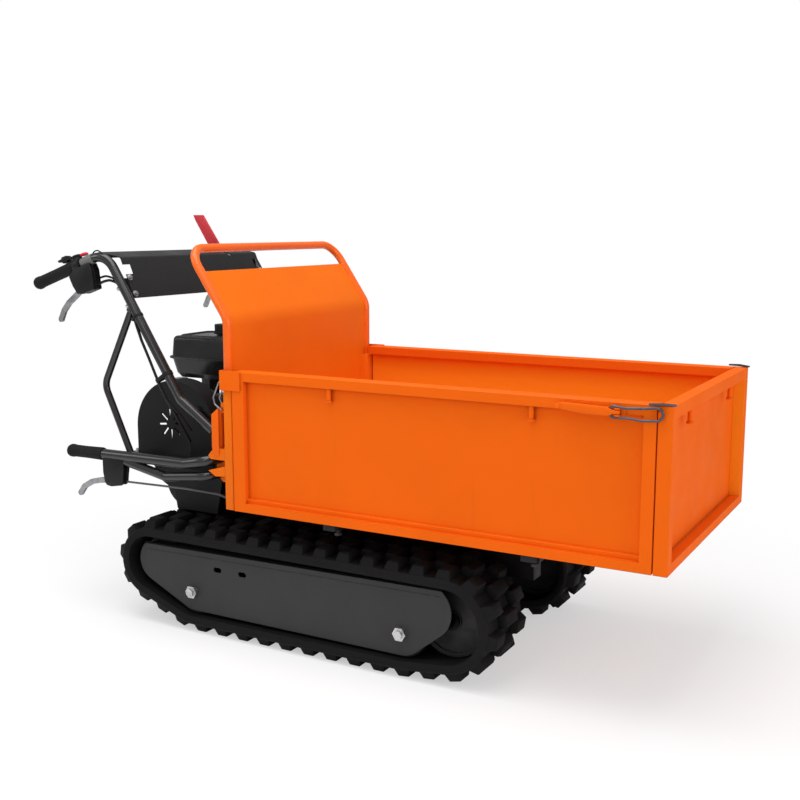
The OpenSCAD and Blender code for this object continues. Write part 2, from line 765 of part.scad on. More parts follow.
module belt_guard() color(black) {
    y = -guard_y();
    slab(y, y + 2.5) difference() {
        guard_outline(0);
        translate(guard_mid() + [-14, 14]) for (k = [0 : 7]) rotate(k * 45 + 5)
            translate([25, 0]) stroke([[-9, 0], [9, 0]], 4.5);
    }
    slab(y, y + guard_d) difference() {
        guard_outline(0);
        guard_outline(2.5);
    }
    for (x = guard_feet()) difference() {
        block([x - 12, y, deck_z], [x + 12, y + 22, deck_z + 3]);
        translate([x, y + 12, deck_z - 1]) cylinder(h = 10, d = 8 + 2 * run_fit);
    }
    slab(y, y + 2.5) polygon([
        [crank_x - 100, deck_z - plate_t], [crank_x - 60, deck_z - 62], [crank_x - 22, deck_z - 82],
        [crank_x - 14, chassis_z + 4], [crank_x + 110, chassis_z + 4], [crank_x + 134, deck_z - plate_t]
    ]);
}

module pulley(r, wide) {
    rotate_extrude() polygon([
        [0, -wide / 2], [r + 4, -wide / 2], [r + 4, 3 - wide / 2], [r - v_depth, -4], [r - v_depth, 4],
        [r + 4, wide / 2 - 3], [r + 4, wide / 2], [0, wide / 2]
    ]);
}

module engine_pulley() color(steel) {
    translate([crank_x, -drive_y, crank_z]) rotate([90, 0, 0]) pulley(pulley_r1, drive_w);
    pin_y([crank_x, crank_z], crank_d, -drive_y - 20, -30);
}

module gearbox_pulley() color(steel) {
    translate([crank_x, -drive_y, input_z]) rotate([90, 0, 0]) pulley(pulley_r2, drive_w);
    pin_y([crank_x, input_z], crank_d, -drive_y - 20, -rail_y + rail_w / 2 - 5);
}

module drive_belt() color(rubber) {
    c = [[crank_x, crank_z, pulley_r1], [crank_x, input_z, pulley_r2]];
    translate([0, -drive_y, 0]) belt_band(c, -6, 9, 8);
}

// Handlebars

module handlebar() color(black) {
    y = bar_y;
    bent_tube([for (p = [grip_tip, bar_top, bar_low, bar_end]) in_plane(p, y)], 55, bar_d);
    bent_tube([for (p = brace_pts) in_plane(p, y)], 40, brace_d);
    difference() {
        block([foot_x[0] + 2, deck_w - 2, deck_z], [foot_x[1], bar_y + 12, deck_z + plate_t]);
        for (x = foot_bolts()) translate([x, bar_y - 26, deck_z - 1])
            cylinder(h = 20, d = 10 + 2 * run_fit);
    }
}

function foot_bolts() = foot_x + [14, -14];

module handlebar_right() mirror([0, 1, 0]) handlebar();
module handlebar_left() handlebar();

console_low = bar_top + [75, -106];
console_top = bar_top + [35, -10];
console_back = bar_top + [-40, 2];

module console_panel() color(dark) {
    w = bar_y - bar_d / 2 - 4;
    t = 2.5;
    difference() {
        slab(-w, w) polygon([
            console_low, console_top, console_back, console_back + [0, -t], console_top + [-t, -t],
            console_low + [-t, 0]
        ]);
        translate([console_top[0] - 33, -w + 14, console_top[1] - 30]) cube([70, 22, 18]);
        translate([gear_pin[0] - 84, gear_y - 6, console_top[1] - 17]) cube([87, 12, 40]);
        both_sides() for (i = [0, 1]) console_bolt(i) translate([0, 0, -1])
            cylinder(h = 8, d = 8 + 2 * run_fit);
    }
    both_sides() slab(w - 1, w + 3.5) polygon([
        console_low, console_top, console_top + [-30, -6], console_low + [-22, -4]
    ]);
    difference() {
        for (y = [gear_y - 9.5, gear_y + 4.5]) slab(y, y + 5) polygon([
            gear_pin + [-14, -12], gear_pin + [13, -12], gear_pin + [10, 42], gear_pin + [-14, 44]
        ]);
        pin_y(gear_pin, 8, gear_y - 20, gear_y + 20);
    }
    pin_y(gear_pin, 8, gear_y - 9.5, gear_y + 9.5);
}

module console_bolt(i) {
    at = console_low + (console_top - console_low) * (0.3 + 0.4 * i);
    inward = turn(unit(console_low - console_top));
    translate([at[0], bar_y - bar_d / 2 - 18, at[1]])
        rotate([0, atan2(inward[0], inward[1]), 0]) children();
}

module handlebar_grips() color(rubber) both_sides() difference() {
    tip = in_plane(grip_tip - grip_dir * 5, bar_y);
    along = [grip_dir[0], 0, grip_dir[1]];
    union() {
        rod(tip, tip + along * (grip_l - 8), grip_d - 4);
        rod(tip + along * 3, tip + along * 14, grip_d);
        rod(tip + along * (grip_l - 14), tip + along * grip_l, grip_d + 4);
        for (k = [0 : 9]) rod(tip + along * (20 + k * 10), tip + along * (26 + k * 10), grip_d - 1);
    }
    rod(in_plane(grip_tip, bar_y), tip + along * (grip_l + 1), bar_d + 2 * run_fit);
}

// A point on the handlebar at distance s from the tube's end and h above its axis
function on_bar(s, h) = grip_tip + grip_dir * s + grip_up * h;

module grip_housings() color(black) {
    mirror([0, 1, 0]) {
        lever_housing();
        throttle_clamp();
        switch_housing();
    }
    lever_housing();
}

module lever_housing() {
    difference() {
        union() {
            slab(bar_y - housing_w / 2, bar_y + housing_w / 2) polygon([
                on_bar(143, 0), on_bar(139, -20), hand_pin + [-32, 15], hand_pin + [-24, -8],
                hand_pin + [-8, -18], hand_pin + [46, 0], hand_pin + [46, 34], on_bar(197, 0)
            ]);
            rod(in_plane(on_bar(143, 0), bar_y), in_plane(on_bar(197, 0), bar_y), bar_d + 10);
        }
        rod(in_plane(on_bar(130, 0), bar_y), in_plane(on_bar(226, 0), bar_y), bar_d + 2 * run_fit);
        slab(bar_y - hand_t / 2 - 0.6, bar_y + hand_t / 2 + 0.6) polygon([
            hand_pin + [-48, -30], hand_pin + [16, -30], hand_pin + [18, 18], hand_pin + [-12, 26],
            hand_pin + [-48, 18]
        ]);
    }
    pin_y(hand_pin, 6, bar_y - housing_w / 2, bar_y + housing_w / 2);
}

module throttle_clamp() {
    difference() {
        union() {
            rod(in_plane(on_bar(137, 0), bar_y), in_plane(on_bar(150, 0), bar_y), bar_d + 12);
            rod(in_plane(on_bar(throttle_s, 14), bar_y), in_plane(on_bar(throttle_s, 24), bar_y), 24);
        }
        rod(in_plane(on_bar(100, 0), bar_y), in_plane(on_bar(160, 0), bar_y), bar_d + 2 * run_fit);
    }
}

module throttle_lever() color(black) mirror([0, 1, 0])
    place([grip_dir[0], 0, grip_dir[1]], [0, 1, 0], [grip_up[0], 0, grip_up[1]],
        in_plane(on_bar(throttle_s, 24 + body_gap), bar_y)) {
        cylinder(h = 5, d = 26);
        linear_extrude(5) stroke([[0, 0], [-18, 14], [-34, 18]], 11);
        translate([-34, 18, 0]) cylinder(h = 12, d = 13);
    }

module switch_housing() {
    place([grip_dir[0], 0, grip_dir[1]], [0, 1, 0], [grip_up[0], 0, grip_up[1]],
        in_plane(on_bar(switch_s, 0), bar_y)) difference() {
        translate([-15, -12, bar_d / 2 + 3]) cube([30, 24, 14]);
        translate([0, 0, bar_d / 2 + 9]) cylinder(h = 20, d = 15);
    }
}

module stop_button() color(red) mirror([0, 1, 0])
    place([grip_dir[0], 0, grip_dir[1]], [0, 1, 0], [grip_up[0], 0, grip_up[1]],
        in_plane(on_bar(switch_s, bar_d / 2 + 13), bar_y)) {
        cylinder(h = 8, d = 15 - 2 * body_gap);
        translate([0, 0, 4 + 3.5]) cylinder(h = 4, d = 19);
    }

module hand_lever(pts, y) difference() {
    slab(y - hand_t / 2, y + hand_t / 2) stroke(pts, 13);
    pin_y(pts[0], 6 + 2 * run_fit, y - hand_t, y + hand_t);
}

module clutch_lever_left() color(silver) hand_lever(hand_pts, bar_y);
module clutch_lever_right() mirror([0, 1, 0]) clutch_lever_left();

module gear_lever() color(red) difference() {
    tip = gear_pin + gear_dir * gear_l;
    side = turn(gear_dir) * gear_w / 2;
    root = gear_pin - gear_dir * 9;
    shoulder = gear_pin + gear_dir * 60;
    slab(gear_y - 3, gear_y + 3) polygon([
        root + side * 0.4, root - side * 0.4, gear_pin - side * 0.6, shoulder - side, tip - side,
        tip + side, shoulder + side, gear_pin + side * 0.6
    ]);
    pin_y(gear_pin, 8 + 2 * run_fit, gear_y - 4, gear_y + 4);
}

// Cable routes from the lever housings to the engine deck
cable_in = bar_y - 19;
clutch_route = [
    in_plane(hand_pin + [47, 12], cable_in), in_plane(hand_pin + [74, 20], cable_in),
    in_plane(hand_pin + [96, 12], cable_in), in_plane(hand_pin + [148, -44], cable_in),
    in_plane(bar_low + [-72, 70], cable_in), in_plane(bar_low + [-20, -28], cable_in - 6),
    in_plane(bar_low + [-14, -78], cable_in - 40), [bar_low[0] - 16, cable_in - 40, deck_z]
];
throttle_in = cable_in - 9;
throttle_route = [
    in_plane(hand_pin + [47, 24], throttle_in), in_plane(hand_pin + [78, 30], throttle_in),
    in_plane(hand_pin + [106, 12], throttle_in), in_plane(hand_pin + [158, -48], throttle_in),
    in_plane(bar_low + [-64, 72], throttle_in), in_plane(bar_low + [-4, -28], throttle_in - 11),
    in_plane(bar_low + [4, -78], throttle_in - 41), [bar_low[0] + 4, throttle_in - 41, deck_z]
];

module control_cables() color(rubber) {
    both_sides() bent_tube(clutch_route, 14, cable_d);
    mirror([0, 1, 0]) bent_tube(throttle_route, 14, cable_d);
}

// Tray

module tray_buffers() color(rubber) both_sides() for (x = [-70, 310])
    translate([x, rail_y, chassis_z]) cylinder(h = frame_z - chassis_z - 0.3, d = 34);

module tray_floor() color(orange) {
    block([post_x + 1, -side_in + 2, floor_z], [front_x - front_t - 1, side_in - 2, floor_z + sheet_t]);
    block([sheet_x + sheet_t + 1, -hoop_y + 16, floor_z], [post_x + 2, hoop_y - 16, floor_z + sheet_t]);
}

module sleeve_profile() difference() {
    square(sleeve, center = true);
    square(sleeve - 2 * sleeve_wall, center = true);
}

module tray_frame() color(black) {
    mid = sleeve_z + sleeve / 2;
    for (x = [arm_x1, arm_x2]) translate([x, side_in - 2, mid]) rotate([90, 0, 0])
        linear_extrude(2 * side_in - 4) sleeve_profile();
    both_sides() {
        translate([arm_x2 + sleeve / 2 - 1, arm_y, mid]) rotate([90, 0, 90])
            linear_extrude(front_x - front_t - 2 - arm_x2 - sleeve / 2) sleeve_profile();
        block([post_x + 4, rail_y - 20, frame_z], [pivot_x - lug_r - 8, rail_y + 20, sleeve_z]);
        hinge_lug();
        block([post_x + 4, rail_y - 20, sleeve_z], [post_x + 34, rail_y + 20, floor_z]);
    }
    difference() {
        block([post_x + 4, -rail_y, frame_z], [post_x + 30, rail_y, sleeve_z]);
        block([post_x + 16, -5, frame_z - 1], [post_x + 31, 5, sleeve_z + 1]);
    }
    hook_ears();
}

module hinge_lug() {
    difference() {
        slab(rail_y - 6, rail_y + 6) {
            translate([pivot_x, pivot_z]) circle(lug_r);
            polygon([
                [pivot_x - 60, frame_z], [pivot_x, pivot_z - lug_r], [pivot_x + lug_r, pivot_z],
                [pivot_x + lug_r, sleeve_z], [pivot_x - 60, sleeve_z]
            ]);
        }
        pin_y([pivot_x, pivot_z], pin_d + 2 * run_fit, rail_y - 20, rail_y + 20);
    }
    block([pivot_x - 60, rail_y - 20, sleeve_z - 5], [arm_x2 - sleeve / 2 + 1, rail_y + 20, floor_z]);
}

hook_pin = [catch_x - 20, sleeve_z - 9];

module hook_ears() {
    for (y = [5, -10]) slab(y, y + 5)
        polygon([
            [post_x + 28, frame_z + 2], hook_pin + [8, -8], hook_pin + [8, 9], [post_x + 28, sleeve_z]
        ]);
    pin_y(hook_pin, 8, -10, 10);
}

module catch_hook() color(steel) difference() {
    nose = catch_x - catch_d / 2 - hook_gap;
    slab(-4, 4) polygon([
        hook_pin + [-7, 30], hook_pin + [-10, 6], hook_pin + [-9, -44], [hook_pin[0] - 4, chassis_z - 26],
        [nose - 2, chassis_z - 24], [nose, chassis_z - 16], [nose - 5, chassis_z - 6], hook_pin + [10, -8],
        hook_pin + [10, 6], hook_pin + [3, 30]
    ]);
    pin_y(hook_pin, 8 + 2 * run_fit, -5, 5);
}

module headboard() color(orange) {
    top = [hoop_x - hoop_back, hoop_z];
    knee = [hoop_x, hoop_bend_z];
    slope = unit(top - knee);
    lip = top - slope * (hand_gap + hoop_d / 2);
    side = turn(slope) * sheet_t / 2;
    both_sides() {
        block([back_x, hoop_y - 14, tray_z], [post_x, half_w - 2, wall_top - 24]);
        latch_base([back_x, latch_y(), wall_top - latch_rear], [0, 0, 1], [0, 1, 0], [-1, 0, 0]);
    }
    bent_tube([
        [hoop_x, -hoop_y, wall_top - 60], in_plane(knee, -hoop_y), in_plane(top, -hoop_y),
        in_plane(top, hoop_y), in_plane(knee, hoop_y), [hoop_x, hoop_y, wall_top - 60]
    ], hoop_r, hoop_d);
    slab(-hoop_y, hoop_y) polygon([
        [sheet_x, tray_z], [sheet_x + sheet_t, tray_z], knee + [sheet_t / 2, 0], lip + side, lip - side,
        knee - [sheet_t / 2, 0]
    ]);
    block([back_x, -hoop_y, tray_z], [sheet_x + 1, hoop_y, tray_z + rail_h]);
    for (y = ear_y) handle_ear(-y);
}

module handle_ear(y) difference() {
    slab(y, y + ear_t) polygon([
        [sheet_x + 1, tip_z - 40], [sheet_x + 1, tip_z + 46], [back_x - 34, tip_z + 44],
        [tip_turn_x - 8, tip_z + 26], [tip_turn_x - 12, tip_z - 20], [tip_turn_x + 6, tip_z - 42]
    ]);
    for (z = [tip_end_z(), tip_end_z() - tip_drop])
        pin_y([tip_turn_x, z], tip_d + 0.4, y - 1, y + ear_t + 1);
}

function tip_end_z() = tip_z + 15;
function tip_start() = [tip_end_x, -tip_y, tip_z - 2];
function tip_knee() = [tip_turn_x - 70, -tip_y, tip_z + 2];
function tip_dir() = unit(tip_knee() - tip_start());

module tipping_handle() color(black) {
    y = -tip_y;
    inner = -ear_y[1] + ear_t + 4;
    bent_tube([
        tip_start() + tip_dir() * 5, tip_knee(),
        [tip_turn_x, y, tip_end_z()], [tip_turn_x, inner, tip_end_z()]
    ], 30, tip_d);
    bent_tube([
        [tip_end_x + 178, y, tip_z - 12], [tip_turn_x - 130, y, tip_z - 36],
        [tip_turn_x, y, tip_end_z() - tip_drop], [tip_turn_x, inner, tip_end_z() - tip_drop]
    ], 30, tip_d - 3);
}

module tipping_grip() color(rubber) difference() {
    a = tip_start();
    dir = tip_dir();
    union() {
        rod(a, a + dir * tip_grip_l, tip_grip_d - 3);
        rod(a + dir * 2, a + dir * 12, tip_grip_d);
        rod(a + dir * (tip_grip_l - 8), a + dir * tip_grip_l, tip_grip_d);
        for (k = [0 : 7]) rod(a + dir * (18 + k * 10), a + dir * (24 + k * 10), tip_grip_d - 0.5);
    }
    rod(a + dir * 5, a + dir * (tip_grip_l + 5), tip_d + 2 * run_fit);
}

module release_bracket() color(black) {
    y = -tip_y;
    at = [tip_end_x + 108, tip_z];
    difference() {
        slab(y - 15, y + 15) polygon([
            at + [2, 6], at + [6, -70], at + [30, -76], at + [70, -68], at + [78, 6]
        ]);
        rod(tip_start(), tip_knee(), tip_d + 2 * run_fit);
        slab(y - hand_t / 2 - 0.6, y + hand_t / 2 + 0.6) polygon([
            at + [-10, -30], at + [32, -48], at + [32, -90], at + [-10, -90]
        ]);
        slab(y - 20, y + 20) translate(at + [60, -30]) polygon([[0, 0], [40, 4], [40, 40], [0, 21]]);
    }
    pin_y(release_pin, 6, y - 15, y + 15);
}

module release_lever() color(silver) hand_lever(release_pts, -tip_y);

// Route of the release cable, from its lever housing to the catch hook
release_route = [
    [tip_end_x + 179, -tip_y, tip_z - 62], [-330, -tip_y + 6, tip_z - 60], [-262, -tip_y + 44, tip_z - 74],
    [-206, -236, sleeve_z + 4], [-150, -172, sleeve_z + 14], [-133, -112, sleeve_z + 16],
    [-136, -40, sleeve_z + 16],
    [hook_pin[0] - 3, -4.5, sleeve_z + 16]
];

module release_cable() color(dark) bent_tube(release_route, 16, cable_d);

module clamp_screws() color(silver) {
    both_sides() {
        for (x = [arm_x1, arm_x2]) clamp_screw([x, side_in - 22, sleeve_z]);
        clamp_screw([front_x - front_t - 24, arm_y, sleeve_z]);
    }
}

module clamp_screw(p) translate(p) {
    translate([0, 0, -5]) cylinder(h = 5, d = 20, $fn = 6);
    translate([0, 0, -14]) cylinder(h = 10, d = 10);
    translate([0, 0, -15]) cylinder(h = 6, d = 18, $fn = 6);
}

function latch_y() = half_w - 16.5;
latch_out = 8;

module side_panel() color(orange) {
    y0 = half_w - side_t;
    block([side_x0, half_w - rim_w, wall_top - rim_h], [side_x1, half_w, wall_top]);
    block([side_x0, y0, tray_z], [side_x1, half_w, tray_z + rail_h]);
    block([side_x0, y0, tray_z], [side_x0 + upright_w + 4, half_w, wall_top]);
    block([side_x1 - upright_w + 3, y0, tray_z], [side_x1, half_w, wall_top]);
    block([side_x0, y0, tray_z], [side_x1, y0 + sheet_t, wall_top]);
    for (x = [arm_x1, arm_x2]) {
        block([x - arm / 2, half_w - 2 - side_arm_l, arm_z], [x + arm / 2, half_w - 2, arm_z + arm]);
        translate([x, half_w - 7, wall_top - rim_h - peg_l]) {
            cylinder(h = peg_l + 1, d = peg_d);
            cylinder(h = 4, d = peg_d + 4);
        }
    }
    corner_plate();
    latch_base([front_x - latch_front, half_w, latch_z()], [1, 0, 0], [0, 0, -1], [0, 1, 0]);
}

function latch_z() = wall_top - 16;

// Plate over the headboard post with the hook for the rear latch
module corner_plate() {
    z = [wall_top - 42, wall_top + 2];
    block([back_x - 5, half_w - 0.5, z[0]], [side_x0 + 24, half_w + 4, z[1]]);
    block([back_x - 5, half_w - 20, z[0]], [back_x - 2, half_w + 4, z[1]]);
    block([back_x - 11, latch_y() - 5, z[0] + 10], [back_x - 3, latch_y() + 5, z[0] + 14]);
}

module side_panel_right() mirror([0, 1, 0]) side_panel();
module side_panel_left() side_panel();

module front_panel() color(orange) {
    x0 = front_x - front_t;
    both_sides() {
        block([x0, half_w - upright_w, tray_z], [front_x, half_w, wall_top]);
        block([x0 - front_arm_l, arm_y - arm / 2, arm_z], [x0 + 4, arm_y + arm / 2, arm_z + arm]);
        block([x0 + 1, half_w - 1, latch_z() - 6], [x0 + 6, half_w + latch_out - hook_gap, latch_z() + 6]);
        translate([front_x - 7, 170, wall_top - rim_h - 4 - peg_l]) {
            cylinder(h = peg_l + 1, d = peg_d);
            cylinder(h = 4, d = peg_d + 4);
        }
    }
    block([x0, -half_w, wall_top - rim_h - 4], [front_x, half_w, wall_top]);
    block([x0, -half_w, tray_z], [front_x, half_w, tray_z + rail_h]);
    block([x0, -half_w, tray_z], [x0 + sheet_t, half_w, wall_top]);
}

// Toggle latch, drawn with its pin at the origin: x the pull, y along the pin, z away from the tray
module latch_base(p, u, w, n) {
    place(u, w, n, p) {
        translate([-14, -lever_w / 2 - 5, -0.5]) cube([28, lever_w + 10, 2.5]);
        for (y = [-lever_w / 2 - 3.6, lever_w / 2 + 0.6]) translate([0, y + 3, 0]) rotate([90, 0, 0])
            linear_extrude(3) union() {
                translate([0, latch_out]) circle(5.5);
                translate([-5.5, 0]) square([11, latch_out]);
            }
        translate([0, -lever_w / 2 - 3, latch_out]) rotate([-90, 0, 0])
            cylinder(h = lever_w + 6, d = latch_pin_d);
    }
}

module latch_lever() color(orange) difference() {
    translate([0, lever_w / 2, 0]) rotate([90, 0, 0]) linear_extrude(lever_w) {
        circle(5);
        translate([-latch_eye, 0]) circle(5);
        polygon([
            [0, 5], [-latch_eye, 5], [-60, 4], [-lever_l + 14, 5], [4 - lever_l, 9], [-lever_l, 8],
            [3 - lever_l, 4], [14 - lever_l, 0], [-60, -2], [-latch_eye, -5], [0, -5]
        ]);
    }
    for (x = [[0, latch_pin_d], [-latch_eye, wire_d]]) translate([x[0], -lever_w, 0]) rotate([-90, 0, 0])
        cylinder(h = 2 * lever_w, d = x[1] + 2 * run_fit);
}

// Wire loop from the eye, l long and leaning in by the given amount at its far bar
module latch_loop(l, lean) color(steel) {
    half = lever_w / 2 + 7;
    tip = lever_w / 2 - 3;
    bent_tube([
        [-latch_eye, -tip, 0], [-latch_eye, -half, 0], [l - latch_eye, -half, -lean],
        [l - latch_eye, half, -lean], [-latch_eye, half, 0], [-latch_eye, tip, 0]
    ], 3, wire_d);
}

front_pin = [front_x - latch_front, half_w + latch_out, latch_z()];
rear_pin = [back_x - latch_out, latch_y(), wall_top - latch_rear];
front_loop_l = latch_front - front_t + 9 + latch_eye + wire_d / 2;
rear_loop_l = latch_rear - 28 + latch_eye + hook_gap + wire_d / 2;

module at_front() place([1, 0, 0], [0, 0, -1], [0, 1, 0], front_pin) children();
module at_rear() place([0, 0, 1], [0, 1, 0], [-1, 0, 0], rear_pin) children();

module latch_lever_front_left() at_front() latch_lever();
module latch_lever_front_right() mirror([0, 1, 0]) at_front() latch_lever();
module latch_lever_rear_left() at_rear() latch_lever();
module latch_lever_rear_right() mirror([0, 1, 0]) at_rear() latch_lever();
module latch_loop_front_left() at_front() latch_loop(front_loop_l, 0);
module latch_loop_front_right() mirror([0, 1, 0]) at_front() latch_loop(front_loop_l, 0);
module latch_loop_rear_left() at_rear() latch_loop(rear_loop_l, -6);
module latch_loop_rear_right() mirror([0, 1, 0]) at_rear() latch_loop(rear_loop_l, -6);

chassis_frame();
gearbox();
fasteners();
track_axles();
side_cover_right();
side_cover_left();
track_right();
track_left();
engine_block();
blower_housing();
fuel_tank();
muffler();
air_filter();
belt_guard();
drive_belt();
handlebar_right();
handlebar_left();
console_panel();
handlebar_grips();
grip_housings();
control_cables();
tray_buffers();
sprocket_right();
sprocket_left();
idler_right();
idler_left();
roller_front_right();
roller_rear_right();
roller_front_left();
roller_rear_left();
engine_pulley();
gearbox_pulley();
fuel_cap();
recoil_handle();
clutch_lever_right();
clutch_lever_left();
throttle_lever();
stop_button();
gear_lever();
tray_floor();
tray_frame();
headboard();
tipping_handle();
tipping_grip();
release_bracket();
release_cable();
clamp_screws();
release_lever();
catch_hook();
side_panel_right();
side_panel_left();
front_panel();
latch_lever_front_right();
latch_lever_front_left();
latch_lever_rear_right();
latch_lever_rear_left();
latch_loop_front_right();
latch_loop_front_left();
latch_loop_rear_right();
latch_loop_rear_left();
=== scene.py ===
"""Looks of the tracked power carrier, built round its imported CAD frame. Metres, +X forward, +Z up."""
from math import acos, atan2, ceil, cos, hypot, pi, radians, sin, sqrt, tan

import bmesh
import bpy
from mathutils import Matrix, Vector


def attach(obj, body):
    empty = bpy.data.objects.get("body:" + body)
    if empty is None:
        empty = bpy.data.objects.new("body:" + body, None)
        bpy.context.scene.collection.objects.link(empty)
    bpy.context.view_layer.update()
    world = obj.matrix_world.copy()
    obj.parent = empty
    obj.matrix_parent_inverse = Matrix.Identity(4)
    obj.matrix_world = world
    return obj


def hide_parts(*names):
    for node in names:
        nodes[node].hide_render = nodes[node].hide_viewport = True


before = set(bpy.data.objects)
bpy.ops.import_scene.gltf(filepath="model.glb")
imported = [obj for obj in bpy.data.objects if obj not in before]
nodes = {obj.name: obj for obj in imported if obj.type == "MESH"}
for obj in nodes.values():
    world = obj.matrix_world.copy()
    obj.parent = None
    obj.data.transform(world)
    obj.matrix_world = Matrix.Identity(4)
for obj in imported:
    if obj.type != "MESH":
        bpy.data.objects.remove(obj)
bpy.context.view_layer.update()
scene = bpy.context.scene
SIDES = (("right", -1), ("left", 1))
SIGNS = (-1, 1)


# Node helpers

class Tree:
    """A node tree of a material or world, with short calls for adding nodes."""

    def __init__(self, owner):
        owner.use_nodes = True
        self.owner = owner
        self.tree = owner.node_tree
        self.tree.nodes.clear()

    def put(self, socket, value):
        if hasattr(value, "is_output"):
            self.tree.links.new(value, socket)
        else:
            socket.default_value = value

    def new(self, kind, *values, **named):
        """Adds a node; values go to its first inputs in order, and named ones have _ for a space."""
        node = self.tree.nodes.new("ShaderNode" + kind)
        for socket, value in zip(node.inputs, values):
            self.put(socket, value)
        for key, value in named.items():
            self.put(node.inputs[key.replace("_", " ")], value)
        return node

    def math(self, operation, a, b):
        node = self.new("Math", a, b)
        node.operation = operation
        return node.outputs[0]

    def background(self):
        """1 for rays that show the background: seen or let through."""
        path = self.new("LightPath")
        return self.math("MAXIMUM", path.outputs["Is Camera Ray"], path.outputs["Is Transmission Ray"])

    def mixed_shaders(self, factor, a, b):
        return self.new("MixShader", factor, a.outputs[0], b.outputs[0]).outputs[0]


class Surface(Tree):
    """A material's tree, with the patterns and masks that the finishes are made of."""

    def __init__(self, name):
        super().__init__(bpy.data.materials.new(name))
        self.coord = self.new("TexCoord").outputs["Object"]

    def stretch(self, scale):
        return self.new("Mapping", Scale=scale, Vector=self.coord).outputs[0]

    def noise(self, scale, detail=4.0, rough=0.55, vector=None):
        vector = vector or self.coord
        return self.new("TexNoise", Scale=scale, Detail=detail, Roughness=rough, Vector=vector).outputs[0]

    def cells(self, scale):
        return self.new("TexVoronoi", Scale=scale, Vector=self.coord).outputs["Distance"]

    def ramp(self, value, low, high, start=0.0, end=1.0):
        """A smooth step from start to end while value goes from low to high."""
        node = self.new("MapRange", Value=value, From_Min=low, From_Max=high, To_Min=start, To_Max=end)
        node.interpolation_type = "SMOOTHSTEP"
        return node.outputs[0]

    def mix(self, factor, a, b):
        node = self.new("Mix", factor)
        node.data_type = "RGBA"
        self.put(node.inputs[6], a)
        self.put(node.inputs[7], b)
        return node.outputs[2]

    def split(self, vector):
        return self.new("SeparateXYZ", vector).outputs

    def height(self):
        return self.split(self.coord)[2]

    def facing(self):
        return self.new("NewGeometry").outputs["Normal"]

    def rounded(self, radius):
        node = self.new("Bevel", Radius=radius)
        node.samples = 4
        return node.outputs[0]

    def edges(self, normal):
        """A mask that is 1 on sharp edges and 0 on flat faces."""
        node = self.new("VectorMath", normal, self.facing())
        node.operation = "DOT_PRODUCT"
        return self.ramp(node.outputs["Value"], 0.995, 0.8)

    def corners(self, distance):
        """A mask that is 1 deep in inner corners."""
        node = self.new("AmbientOcclusion", Distance=distance)
        node.samples = 6
        node.only_local = True
        return self.ramp(node.outputs["AO"], 0.86, 0.42)

    def bump(self, height, strength, distance, normal):
        return self.new("Bump", Strength=strength, Distance=distance, Height=height, Normal=normal).outputs[0]

    def finish(self, color, rough, normal, **sockets):
        shader = self.new("BsdfPrincipled", Base_Color=color, Roughness=rough, Normal=normal, **sockets)
        self.new("OutputMaterial", Surface=shader.outputs[0])
        return self.owner


def rgb(r, g, b):
    """Linear colour from 0 to 255 display values."""
    def linear(value):
        share = value / 255
        return share / 12.92 if share <= 0.04045 else ((share + 0.055) / 1.055) ** 2.4
    return (linear(r), linear(g), linear(b), 1.0)


def shaded(color, factor, lift=0.0):
    """A colour made darker or paler."""
    return tuple(min(1.0, factor * c + lift) for c in color[:3]) + (1.0,)


# Materials

ORANGE = rgb(238, 101, 16)
# Painted light: a paler orange for the headboard inside the tray, against its shade.
BOARD_PAINTED_LIGHT_ORANGE = rgb(234, 110, 19)
WORN_ORANGE = rgb(246, 132, 58)
DUSTY_ORANGE = rgb(206, 88, 22)
# Painted light and painted shade: a paler orange for faces inside the tray, a darker one on the rims' inner
# faces.
INSIDE_PAINTED_LIGHT_ORANGE = rgb(245, 142, 30)
RIM_PAINTED_SHADE_ORANGE = rgb(224, 94, 15)
# Painted shade with some grime, for inner corners.
CORNER_SHADE_AND_GRIME = rgb(122, 50, 12)
ARM_STEEL = rgb(44, 44, 46)
AXLE_DARK = rgb(24, 24, 25)
ZINC = rgb(196, 198, 200)
DULL_ZINC = rgb(120, 122, 124)
# Underside of the panels' rims, top of their sliding arms, and the x in front of which the axles are darker
RIM_Z, ARM_Z, DARK_AXLE_X = 0.609, 0.3134, 0.3


